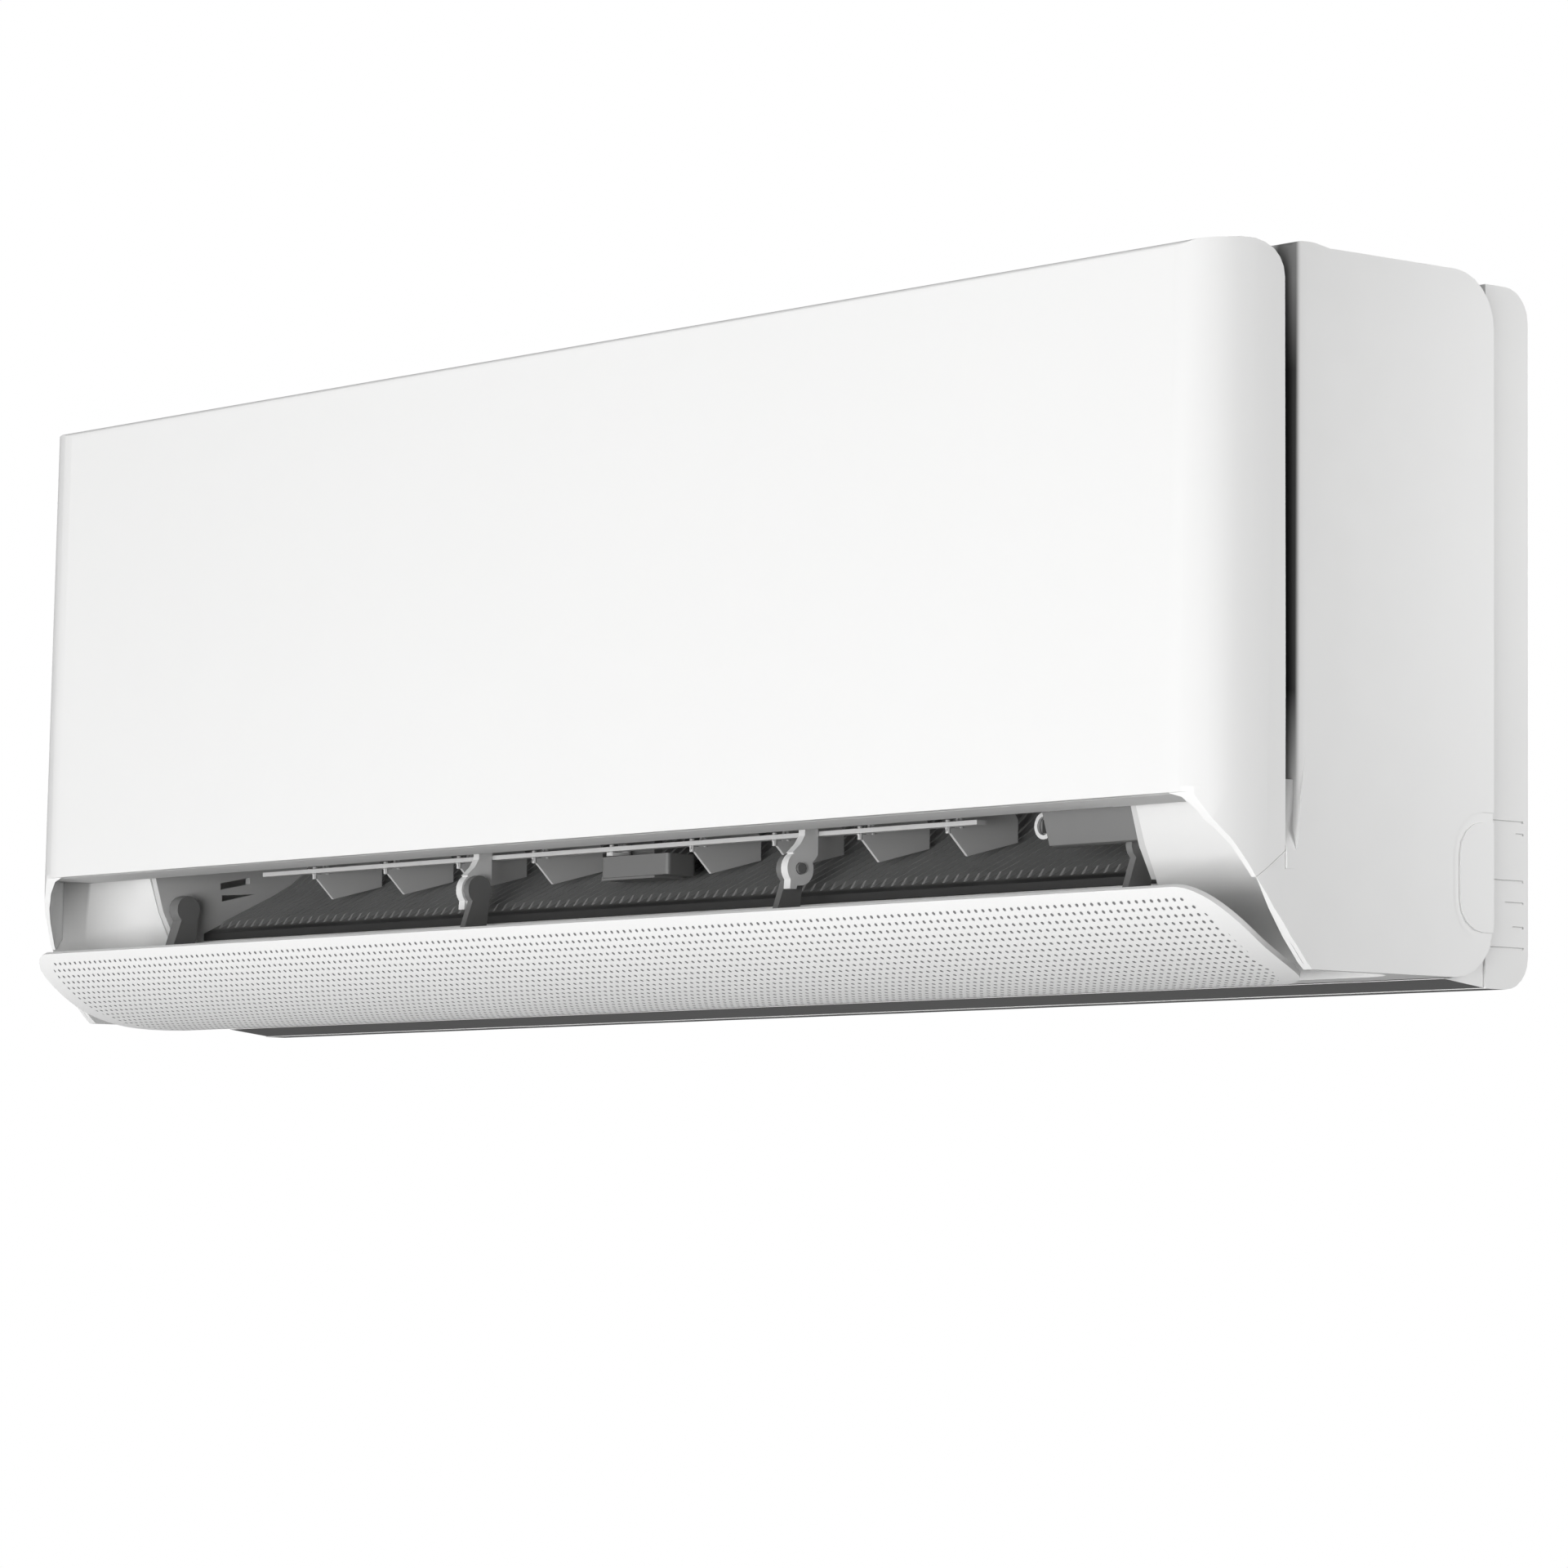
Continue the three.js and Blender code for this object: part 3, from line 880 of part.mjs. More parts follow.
function airFilter(side) {
  const [x0, x1] = filterSpan(side);
  const long = Math.hypot(FILTER_HEAD[0] - FILTER_FOOT[0], FILTER_HEAD[1] - FILTER_FOOT[1]);
  const lean = Math.atan2(FILTER_HEAD[0] - FILTER_FOOT[0], FILTER_HEAD[1] - FILTER_FOOT[1]);
  const sheet = box(x0, x1, -FILTER_THICK / 2, FILTER_THICK / 2, 0, long);
  const columns = 5;
  const rows = 4;
  const rib = 4;
  const head = 16;
  const cells = [];
  const wide = (x1 - x0 - rib) / columns;
  const tall = (long - rib - head) / rows;
  for (let i = 0; i < columns; i += 1) {
    for (let j = 0; j < rows; j += 1) {
      cells.push(box(x0 + rib + i * wide, x0 + (i + 1) * wide, -FILTER_THICK, -0.4,
        rib + j * tall, (j + 1) * tall));
    }
  }
  return cut(sheet, cells).rotate([-THREE.MathUtils.radToDeg(lean), 0, 0])
    .translate([0, FILTER_FOOT[0], FILTER_FOOT[1]]);
}

// ---- controls -------------------------------------------------------------------------------
const BOX_LEFT = DUCT_RIGHT + 17;
const BOX_RIGHT = WIDTH / 2 - 24;
const BOX_FRONT = FRONT + 20;
const BOX_BACK = FRONT + 54;
const BOX_FLOOR = 128;
const BOX_TOP = HEIGHT - 36;
const BOX_WALL = 2;

function controlBox() {
  const feet = [BOX_FLOOR + 14, BOX_TOP - 24].map((z) => box(BOX_RIGHT - 1, WIDTH / 2 - SHELL - SEAT,
    BOX_BACK - 8, BOX_BACK, z, z + 10));
  const tray = box(BOX_LEFT, BOX_RIGHT, BOX_FRONT, BOX_BACK, BOX_FLOOR, BOX_TOP).subtract(
    box(BOX_LEFT + BOX_WALL, BOX_RIGHT - BOX_WALL, BOX_FRONT - 5, BOX_BACK - BOX_WALL,
      BOX_FLOOR + BOX_WALL, BOX_TOP - BOX_WALL));
  return joined([tray, ...feet]);
}

function controlBoxCover() {
  return box(BOX_LEFT, BOX_RIGHT, BOX_FRONT - SEAT - 1.5, BOX_FRONT - SEAT, BOX_FLOOR, BOX_TOP);
}

function circuitBoard() {
  const y = BOX_BACK - BOX_WALL - 8;
  const board = box(BOX_LEFT + 4, BOX_RIGHT - 4, y - 1.6, y, BOX_FLOOR + BOX_WALL + SEAT, BOX_TOP - 14);
  const parts = [[12, 22, 30, 24, 18], [44, 16, 32, 22, 16], [16, 66, 24, 14, 12], [42, 70, 30, 30, 14]]
    .map(([dx, dz, wide, tall, deep]) => box(BOX_LEFT + dx, BOX_LEFT + dx + wide - 4, y - 1.6 - deep, y - 1,
      BOX_FLOOR + dz, BOX_FLOOR + dz + tall));
  const high = BOX_TOP - BOX_FLOOR - 41;
  const feet = [[10, 8], [64, 8], [10, high], [64, high]].map(([dx, dz]) => box(BOX_LEFT + dx,
    BOX_LEFT + dx + 5, y - 1, BOX_BACK - BOX_WALL - SEAT, BOX_FLOOR + dz, BOX_FLOOR + dz + 5));
  return joined([board, ...parts, ...feet]);
}

function terminalBlock() {
  const z0 = BOX_FLOOR - 18;
  const block = box(BOX_LEFT + 8, BOX_RIGHT - 10, BOX_FRONT + 4, BOX_FRONT + 24, z0, BOX_FLOOR - SEAT);
  const wells = Array.from({ length: 4 }, (_, i) => box(BOX_LEFT + 12 + i * 17, BOX_LEFT + 24 + i * 17,
    BOX_FRONT, BOX_FRONT + 14, z0 + 4, z0 + 13));
  return cut(block, wells);
}

// ---- pipes ----------------------------------------------------------------------------------
const PIPE_DROP_Y = BOX_BACK + 7.5;
const PIPE_START = COIL_RIGHT + SEAT;
const PIPE_END = COIL_RIGHT - 270;

// A pipe leaves the heat exchanger, drops behind the control box and turns into the channel.
function pipe(radius, high, drop, y, z, end) {
  const front = PIPE_DROP_Y;
  return tube([[PIPE_START, front - 7, high], [PIPE_START + 8, front - 6, high],
    [PIPE_START + 22, front, high],
    [drop - 20, front, high], [drop - 3, front, high - 4],
    [drop, front, high - 22], [drop, front, 100], [drop, front + 14, 74], [drop, front + 36, 52],
    [drop, front + 62, z + 2], [drop, -50, z], [drop - 6, y - 8, z], [drop - 24, y, z], [drop - 60, y, z],
    [end, y, z]], radius, 24, 7);
}

function flareNut(radius, y, z, end) {
  const x = end - SEAT;
  return rodX(y, z, radius + 4, x - 18, x, 6).subtract(rodX(y, z, radius - 1, x - 20, x + 1, 10));
}

// ---- mounting plate -------------------------------------------------------------------------
function mountingPlate() {
  const low = PLATE_CENTRE_Z - PLATE_TALL / 2;
  const high = PLATE_CENTRE_Z + PLATE_TALL / 2;
  const half = PLATE_HALF;
  const outline = rounded([[-half, low + 30, 8], [-half + 90, low + 30, 8], [-half + 120, low, 8],
    [half - 120, low, 8], [half - 90, low + 30, 8], [half, low + 30, 8],
    [half, high, 8], [-half, high, 8]], 2);
  const sheet = alongY(outline, -PLATE_THICK, 0);
  const holes = [];
  for (const x of [-260, -180, 180, 260]) {
    for (const z of [low + 50, high - 40]) holes.push(alongY(circle(x, z, 3, 8), -3, 1));
  }
  const windows = [-1, 1].map((side) =>
    alongY(rounded([[side * 60, low + 70, 10], [side * 150, low + 70, 10],
    [side * 150, high - 70, 10], [side * 60, high - 70, 10]], 2), -3, 1));
  const hooks = [-210, 0, 210].map((x) =>
    alongX([[-1, high - 12], [-HOOK_REACH, high - 12], [-HOOK_REACH, high + 2], [-4.5, high + 2],
    [-4.5, high - 10], [-1, high - 10]], x - 20, x + 20));
  return joined([cut(sheet, [...holes, ...windows]), ...hooks]);
}

// ---- assembly -------------------------------------------------------------------------------
place("mounting_plate", mountingPlate(), STEEL);
place("rear_chassis", rearChassis(), SHELL_GREY);
place("front_frame", frontFrame(), WHITE);
place("front_panel", frontPanel(), WHITE);
place("duct_floor", ductFloor(), DARK_GREY);
place("drain_pan", drainPan(), DUCT_GREY);
onFlap("deflector_flap", deflectorFlap(), WHITE);
onFlap("flap_carrier", flapCarrier(), DARK_GREY);
onFlap("flap_end_pin", rodX(EYE_Y, EYE_Z, EYE_PIN, LUG_RIGHT_X - 3, DUCT_RIGHT + DUCT_WALL - 1, 12), WHITE);
place("support_arm_left", supportArm(ARM_LEFT_X), WHITE);
place("support_arm_right", supportArm(ARM_RIGHT_X), WHITE);
place("flap_motor", flapMotor(), STEEL);
vaneSlots.forEach((slot, i) => place(`vane_${i + 1}`, vane(vaneX(slot)), DUCT_GREY));
place("vane_tie_bar", tieBar(), SHELL_GREY);
place("duct_end_cover", ductEndCover(), DUCT_GREY);
place("cover_clip", coverClip(), SHELL_GREY);
place("vane_motor", vaneMotor(), DARK_GREY);
place("vane_crank", vaneCrank(), SHELL_GREY);
place("crossflow_fan", crossflowFan(), BLACK);
place("fan_stub_shaft", fanAxisRod(FAN_SHAFT, DUCT_LEFT - 22, FAN_LEFT + DISC_THICK, 16), STEEL);
place("motor_shaft", fanAxisRod(FAN_SHAFT, FAN_RIGHT - 12, MOTOR_X + MOTOR_LONG - 8, 16), STEEL);
place("fan_bearing", fanAxisRod(BEARING_RADIUS, DUCT_LEFT - 20, DUCT_LEFT - DUCT_WALL - SEAT)
  .subtract(fanAxisRod(FAN_SHAFT + SHAFT_FIT, DUCT_LEFT - 30, DUCT_LEFT, 28)), BLACK);
place("bearing_holder", box(DUCT_LEFT - 18, DUCT_LEFT - 8, FAN_Y - 17, FAN_Y + 17, FAN_Z - 17, FAN_Z + 17)
  .subtract(fanAxisRod(BEARING_RADIUS + SEAT, DUCT_LEFT - 30, DUCT_LEFT)), SHELL_GREY);
place("fan_motor", fanMotor(), STEEL);
place("motor_band", motorBand(), SHELL_GREY);
place("motor_cradle", motorCradle(), SHELL_GREY);
place("evaporator_front", coil(frontCoil), ALUMINIUM);
place("evaporator_rear", coil(rearCoil), ALUMINIUM);
place("end_plate_left", endPlate(-1), COPPER);
place("end_plate_right", endPlate(1), COPPER);
place("air_filter_left", airFilter(-1), DARK_GREY);
place("air_filter_right", airFilter(1), DARK_GREY);
place("control_box", controlBox(), SHELL_GREY);
place("control_box_cover", controlBoxCover(), STEEL);
place("circuit_board", circuitBoard(), BOARD);
place("terminal_block", terminalBlock(), BLACK);
place("gas_pipe", pipe(GAS_PIPE, 150, MOTOR_X + MOTOR_LONG + 8, -16, 36, PIPE_END), COPPER);
place("liquid_pipe", pipe(LIQUID_PIPE, 176, MOTOR_X + MOTOR_LONG + 24, -14, 22, PIPE_END - 40), COPPER);
place("gas_flare_nut", flareNut(GAS_PIPE, -16, 36, PIPE_END), BRASS);
place("liquid_flare_nut", flareNut(LIQUID_PIPE, -14, 22, PIPE_END - 40), BRASS);

export default new THREE.Group().add(unit);
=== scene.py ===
# Looks, light and camera for a wall-hung indoor unit with its outlet flap open.
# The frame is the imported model's own, in metres: X along the unit, Y into the wall, Z up.
# Own pieces and the camera's aim are typed in millimetres, with Z from the unit's underside.
import json
import math

import bmesh
import bpy
import numpy as np
from mathutils import Matrix, Vector

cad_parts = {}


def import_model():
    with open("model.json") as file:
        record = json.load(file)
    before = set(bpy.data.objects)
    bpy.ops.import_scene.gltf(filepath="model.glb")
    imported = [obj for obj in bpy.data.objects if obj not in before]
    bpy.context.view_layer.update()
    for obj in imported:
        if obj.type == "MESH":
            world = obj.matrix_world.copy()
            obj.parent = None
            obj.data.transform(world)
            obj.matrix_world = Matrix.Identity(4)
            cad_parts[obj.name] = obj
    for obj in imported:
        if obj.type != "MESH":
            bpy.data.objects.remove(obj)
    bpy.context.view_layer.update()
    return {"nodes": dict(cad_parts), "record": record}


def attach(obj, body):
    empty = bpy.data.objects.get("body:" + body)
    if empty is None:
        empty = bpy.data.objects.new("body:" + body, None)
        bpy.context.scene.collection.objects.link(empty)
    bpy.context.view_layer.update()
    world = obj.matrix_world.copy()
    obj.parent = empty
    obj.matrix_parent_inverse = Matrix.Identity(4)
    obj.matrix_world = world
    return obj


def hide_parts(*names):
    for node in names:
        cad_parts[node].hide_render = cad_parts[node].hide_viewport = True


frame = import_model()
nodes = frame["nodes"]
scene = bpy.context.scene

MM = 0.001
PLATE_CENTRE_Z = 178  # height of the origin above the unit's underside
WHITE = (1, 1, 1, 1)
BLACK = (0, 0, 0, 1)


# ---- node helpers --------------------------------------------------------------------
NOISE_ROUGHNESS = 0.55
NOISE_MIDDLE = (0.3, 0.7)  # where most of a noise's values lie


class Tree:
    """A material's node tree, filled by short calls that return output sockets."""

    def __init__(self, name):
        self.material = bpy.data.materials.new(name)
        self.material.use_nodes = True
        self.nodes = self.material.node_tree.nodes
        self.links = self.material.node_tree.links
        self.shader = self.nodes["Principled BSDF"]

    def feed(self, socket, value):
        if isinstance(value, bpy.types.NodeSocket):
            self.links.new(value, socket)
        else:
            socket.default_value = value

    def add(self, kind, output=0, settings=None, **inputs):
        """Adds a node; its inputs are named by their label, or as i0, i1 by their number."""
        node = self.nodes.new(kind)
        for key, value in (settings or {}).items():
            setattr(node, key, value)
        for key, value in inputs.items():
            numbered = key[0] == "i" and key[1:].isdigit()
            self.feed(node.inputs[int(key[1:]) if numbered else key], value)
        return node.outputs[output]

    def math(self, operation, a, b=0.0):
        return self.add("ShaderNodeMath", settings={"operation": operation}, i0=a, i1=b)

    def place(self):
        return self.add("ShaderNodeTexCoord", output="Object")

    def upward(self):
        """How much a face looks up, from -1 to 1."""
        return self.axes(self.add("ShaderNodeTexCoord", output="Normal"))[2]

    def axes(self, vector):
        node = self.nodes.new("ShaderNodeSeparateXYZ")
        self.links.new(vector, node.inputs[0])
        return node.outputs[0], node.outputs[1], node.outputs[2]

    def stretched(self, vector, x, y, z):
        return self.add("ShaderNodeMapping", Vector=vector, Scale=(x, y, z))

    def noise(self, vector, scale, detail=3.0):
        return self.add("ShaderNodeTexNoise", Vector=vector, Scale=scale, Detail=detail,
                        Roughness=NOISE_ROUGHNESS)

    def ramp(self, value, low, high, start=0.0, end=1.0):
        """Goes from low to high while the value goes from start to end."""
        node = self.nodes.new("ShaderNodeMapRange")
        for index, number in enumerate((value, start, end, low, high)):
            self.feed(node.inputs[index], number)
        return node.outputs[0]

    def spread(self, noise, low, high):
        return self.ramp(noise, low, high, *NOISE_MIDDLE)

    def mix(self, factor, first, second):
        node = self.nodes.new("ShaderNodeMix")
        node.data_type = "RGBA"
        for index, number in ((0, factor), (6, first), (7, second)):
            self.feed(node.inputs[index], number)
        return node.outputs[2]

    def bump(self, height, strength, distance, normal=None):
        node = self.nodes.new("ShaderNodeBump")
        node.inputs["Strength"].default_value = strength
        node.inputs["Distance"].default_value = distance
        self.links.new(height, node.inputs["Height"])
        if normal is not None:
            self.links.new(normal, node.inputs["Normal"])
        return node.outputs[0]

    def set(self, **inputs):
        for key, value in inputs.items():
            self.feed(self.shader.inputs[key.replace("_", " ")], value)
        return self.material


def grey(value):
    return (value, value, value * 0.995, 1.0)


def shade(colour, factor):
    return tuple(min(c * factor, 1.0) for c in colour[:3]) + (1.0,)


# ---- materials -------------------------------------------------------------------------
# Scales are in cycles a metre, depths of bumps in metres.
CLOUD_SCALE, CLOUD_DETAIL = 9.0, 4.0  # mottling of plastic
GRAIN_SCALE, GRAIN_DETAIL, GRAIN_DEPTH = 1400.0, 2.0, 0.00006  # spark-eroded grain of plastic
GLOSS_SCALE, GLOSS_LESS, GLOSS_MORE = 60.0, 0.04, 0.05  # unevenness of the roughness
SHADED = 0.05  # share of its colour that plastic keeps where painted shade is full
# How much a face looks up, where the coarse texture or the painted shade is full and where it
# ends.
COARSE_BELOW = (-0.9, -0.55)
DARK_BELOW = (-0.95, -0.6)
DARKEST_BELOW = 0.84

# The groove beside the panel: where its painted shade sets in and goes out, from the unit's
# middle, from the wall and up from the origin.
GROOVE_INNER = (0.454, 0.458)
GROOVE_OUTER = (0.4676, 0.4692)
GROOVE_DEPTH = (-0.1504, -0.1488)
GROOVE_BOTTOM = (-0.13, -0.05)
GROOVE_TOP = (0.09, 0.13)
GROOVE_AT_TOP = 0.75
LIP_DEPTH = (-0.101, -0.097)  # Y where the painted shade on the duct's lip is full and where it ends
LIP_DARKEST = 0.8


def moulded(name, colour, roughness, grain=0.25, variation=0.02, specular=0.45,
            coarse_below=False, shadows=None):
    """Injection-moulded plastic: faint mottling, a fine spark-eroded grain and uneven gloss.

    With coarse_below, faces that look down are fully matt. The shadows function says how far
    painted shade darkens a point, where light alone doesn't give the tone the photo shows.
    """
    t = Tree(name)
    where = t.place()
    cloud = t.spread(t.noise(where, CLOUD_SCALE, CLOUD_DETAIL), 0.0, 1.0)
    tone = t.mix(cloud, shade(colour, 1 - variation), shade(colour, 1 + variation / 2))
    gloss = t.spread(t.noise(where, GLOSS_SCALE), roughness - GLOSS_LESS, roughness + GLOSS_MORE)
    # painted shade: mixes towards a darkened copy of the colour where the shadows function says
    if shadows is not None:
        tone = t.mix(shadows(t, where), tone, shade(colour, SHADED))
    if coarse_below:
        gloss = t.math("MAXIMUM", gloss, t.ramp(t.upward(), 1.0, 0.0, *COARSE_BELOW))
    fine = t.noise(where, GRAIN_SCALE, GRAIN_DETAIL)
    return t.set(Base_Color=tone, Roughness=gloss, Specular_IOR_Level=specular,
                 Normal=t.bump(fine, grain, GRAIN_DEPTH))


def painted_groove_shade(t, where):
    """Painted shade: darkens the frame's groove beside the panel, less so at its ends."""
    x, y, z = t.axes(where)
    out = t.math("ABSOLUTE", x)
    inside = t.math("MULTIPLY", t.ramp(out, 1.0, 0.0, *GROOVE_OUTER),
                    t.ramp(out, 0.0, 1.0, *GROOVE_INNER))
    front = t.ramp(y, 1.0, 0.0, *GROOVE_DEPTH)
    level = t.math("MULTIPLY", t.ramp(z, 0.0, 1.0, *GROOVE_BOTTOM),
                   t.ramp(z, 1.0, GROOVE_AT_TOP, *GROOVE_TOP))
    return t.math("MULTIPLY", t.math("MULTIPLY", inside, front), level)


def painted_shade_below(t, _):
    """Painted shade: darkens faces that look down, to the tone the photo shows there."""
    return t.ramp(t.upward(), DARKEST_BELOW, 0.0, *DARK_BELOW)


def painted_lip_shade(t, where):
    """Painted shade: darkens the duct's floor at its front edge."""
    _, y, _ = t.axes(where)
    return t.ramp(y, LIP_DARKEST, 0.0, *LIP_DEPTH)


STREAK_STRETCH, STREAK_SCALE, STREAK_DETAIL = (4.0, 260.0, 260.0), 3.0, 5.0
STREAK_TONE = 0.82  # share of the metal's colour
BLOTCH_SCALE, BLOTCH_DETAIL, BLOTCH_EDGE = 25.0, 4.0, (0.45, 0.75)
BLOTCH_TONE, BLOTCH_MOST = 0.7, 0.35


def brushed(name, colour, roughness=0.32):
    """Sheet or turned metal with fine marks along X."""
    t = Tree(name)
    where = t.place()
    streak = t.noise(t.stretched(where, *STREAK_STRETCH), STREAK_SCALE, STREAK_DETAIL)
    blotch = t.noise(where, BLOTCH_SCALE, BLOTCH_DETAIL)
    tone = t.mix(t.spread(streak, 0.0, 1.0), shade(colour, STREAK_TONE), colour)
    tone = t.mix(t.ramp(blotch, 0.0, BLOTCH_MOST, *BLOTCH_EDGE), tone, shade(colour, BLOTCH_TONE))
    gloss = t.spread(streak, roughness - 0.06, roughness + 0.1)
    return t.set(Base_Color=tone, Metallic=1.0, Roughness=gloss,
                 Normal=t.bump(streak, 0.25, 0.00005))


FIN_PITCH, FIN_SHARE = 0.0014, 0.45
FIN_GAP = (0.03, 0.032, 0.035, 1)
FIN_DULL, FIN_BRIGHT = (0.3, 0.31, 0.33, 1), (0.78, 0.8, 0.82, 1)
FIN_WOBBLE, FIN_WOBBLE_SCALE, FIN_WOBBLE_DETAIL = (0.8, 1.05), 30.0, 4.0


def finned(name):
    """Thin aluminium fins side by side, with the darker gaps between them."""
    t = Tree(name)
    where = t.place()
    x, _, _ = t.axes(where)
    fin = t.math("LESS_THAN", t.math("FRACT", t.math("DIVIDE", x, FIN_PITCH)), FIN_SHARE)
    wobble = t.spread(t.noise(where, FIN_WOBBLE_SCALE, FIN_WOBBLE_DETAIL), *FIN_WOBBLE)
    colour = t.mix(fin, FIN_GAP, t.mix(wobble, FIN_DULL, FIN_BRIGHT))
    return t.set(Base_Color=colour, Metallic=t.ramp(fin, 0.3, 0.95), Roughness=0.38,
                 Normal=t.bump(fin, 0.7, 0.0004))


MESH_PITCH = 0.0016
MESH_EDGE = (0.3, 0.42)  # shares of the pitch from a gap's middle, where a thread begins
MESH_GAP, MESH_THREAD = (0.012, 0.013, 0.015, 1), (0.1, 0.11, 0.12, 1)


def meshed(name):
    """Dark filter fabric: a square weave of fine threads."""
    t = Tree(name)
    x, _, z = t.axes(t.place())
    threads = []
    for axis in (x, z):
        phase = t.math("FRACT", t.math("DIVIDE", axis, MESH_PITCH))
        threads.append(t.math("ABSOLUTE", t.math("SUBTRACT", phase, 0.5)))
    weave = t.math("MAXIMUM", *threads)
    colour = t.mix(t.ramp(weave, 0.0, 1.0, *MESH_EDGE), MESH_GAP, MESH_THREAD)
    return t.set(Base_Color=colour, Roughness=0.62, Normal=t.bump(weave, 0.6, 0.0003))


RESIST, RESIST_ON_COPPER = (0.012, 0.085, 0.03, 1), (0.03, 0.17, 0.06, 1)
PAD = (0.55, 0.56, 0.55, 1)
RUN_SCALE, RUN_STRETCH, RUN_EDGE = 170.0, (1.0, 0.02, 0.45), (0.02, 0.08)
PAD_SCALE, PAD_EDGE = 420.0, (0.66, 0.68)


def board_green(name):
    """Circuit board: solder resist over copper runs, with bare pads."""
    t = Tree(name)
    where = t.place()
    edges = t.add("ShaderNodeTexVoronoi", output="Distance",
                  settings={"feature": "DISTANCE_TO_EDGE"}, Scale=RUN_SCALE,
                  Vector=t.stretched(where, *RUN_STRETCH))
    run = t.ramp(edges, 1.0, 0.0, *RUN_EDGE)
    pads = t.ramp(t.noise(where, PAD_SCALE, 1.0), 0.0, 1.0, *PAD_EDGE)
    colour = t.mix(pads, t.mix(run, RESIST, RESIST_ON_COPPER), PAD)
    return t.set(Base_Color=colour, Roughness=0.35, Normal=t.bump(run, 0.3, 0.0001))


HOLE_PITCH_X = 0.00475
HOLE_PITCH_S = 0.00436  # along the flap's section
HOLE_RADIUS = 0.00085
HOLE_EDGE = (0.8, 1.2)  # shares of the radius over which a hole's tone goes out
HOLE_COLOUR = (0.2, 0.2, 0.205, 1)
SKIN_DULLEST = 0.98  # share of the skin's colour at its darkest mottling


def perforated(name, colour):
    """Flap skin: rows of fine holes on the unrolled surface, left out near its outline."""
    t = Tree(name)
    where = t.place()
    squares = []
    for axis, pitch in zip(t.axes(t.add("ShaderNodeUVMap", settings={"uv_map": "unrolled"})),
                           (HOLE_PITCH_X, HOLE_PITCH_S)):
        phase = t.math("SUBTRACT", t.math("FRACT", t.math("DIVIDE", axis, pitch)), 0.5)
        away = t.math("MULTIPLY", phase, pitch)
        squares.append(t.math("MULTIPLY", away, away))
    radius = t.math("SQRT", t.math("ADD", *squares))
    hole = t.ramp(radius, 1.0, 0.0, *(HOLE_RADIUS * share for share in HOLE_EDGE))
    margin = t.add("ShaderNodeAttribute", output="Fac", settings={"attribute_name": "margin"})
    hole = t.math("MULTIPLY", hole, t.math("GREATER_THAN", margin, 1.0))
    cloud = t.spread(t.noise(where, CLOUD_SCALE, CLOUD_DETAIL), SKIN_DULLEST, 1.0)
    tone = t.mix(hole, t.mix(cloud, BLACK, colour), HOLE_COLOUR)
    fine = t.bump(t.noise(where, GRAIN_SCALE, GRAIN_DETAIL), 0.2, GRAIN_DEPTH)
    sunk = t.math("SUBTRACT", 1.0, hole)
    return t.set(Base_Color=tone, Roughness=t.ramp(hole, 0.45, 0.7), Specular_IOR_Level=0.15,
                 Normal=t.bump(sunk, 0.8, 0.0006, fine))


finishes = {
    "flap_plastic": perforated("flap_plastic", grey(0.9)),
    "fin_aluminium": finned("fin_aluminium"),
    "filter_mesh": meshed("filter_mesh"),
    "board": board_green("board"),
}
for finish, tone, gloss, more in (
        # painted shade in the groove beside the panel
        ("case_plastic", 0.86, 0.45, dict(grain=0.15, variation=0.008, specular=0.15,
                                          coarse_below=True, shadows=painted_groove_shade)),
        ("panel_plastic", 0.88, 0.34, dict(grain=0.0, variation=0.002, specular=0.3)),
        # painted shade on faces that look down
        ("chassis_plastic", 0.8, 0.45, dict(specular=0.15, coarse_below=True,
                                            shadows=painted_shade_below)),
        ("light_plastic", 0.72, 0.4, {}),
        # painted shade on the duct's floor at its lip
        ("duct_plastic", 0.24, 0.5, dict(variation=0.1, shadows=painted_lip_shade)),
        ("rib_plastic", 0.34, 0.4, dict(variation=0.1)),
        ("pan_plastic", 0.68, 0.45, dict(variation=0.03)),
        ("cover_plastic", 0.2, 0.45, dict(variation=0.03)),
        ("vane_plastic", 0.7, 0.4, dict(variation=0.03)),
        ("fan_plastic", 0.03, 0.4, dict(variation=0.1)),
        ("bearing_rubber", 0.02, 0.7, dict(variation=0.1))):
    finishes[finish] = moulded(finish, grey(tone), gloss, **more)
for finish, metal, more in (
        ("motor_steel", (0.5, 0.5, 0.51, 1), {}),
        ("plate_steel", (0.62, 0.63, 0.64, 1), dict(roughness=0.38)),
        ("coil_copper", (0.72, 0.4, 0.25, 1), dict(roughness=0.28)),
        ("nut_brass", (0.75, 0.58, 0.3, 1), dict(roughness=0.25))):
    finishes[finish] = brushed(finish, metal, **more)

slots = {entry["node"]: entry["material_slot"] for entry in frame["record"]["subparts"]}
DARKER = ("duct_end_cover", "vane_motor", "flap_carrier")  # than the slot's own finish


# ---- carried-over solids ----------------------------------------------------------------
WELD = 0.00001
FLAT_ANGLE = 0.4  # faces closer than this many degrees are one
SOFT_EDGE, SOFT_SEGMENTS = 0.0004, 2
SOFT_ANGLE = 28.0  # edges sharper than this are softened
SPLIT_ANGLE = 35.0


def soften(o, width, segments, angle):
    bevel = o.modifiers.new("edge", "BEVEL")
    bevel.width = width
    bevel.segments = segments
    bevel.limit_method = "ANGLE"
    bevel.angle_limit = math.radians(angle)
    return bevel


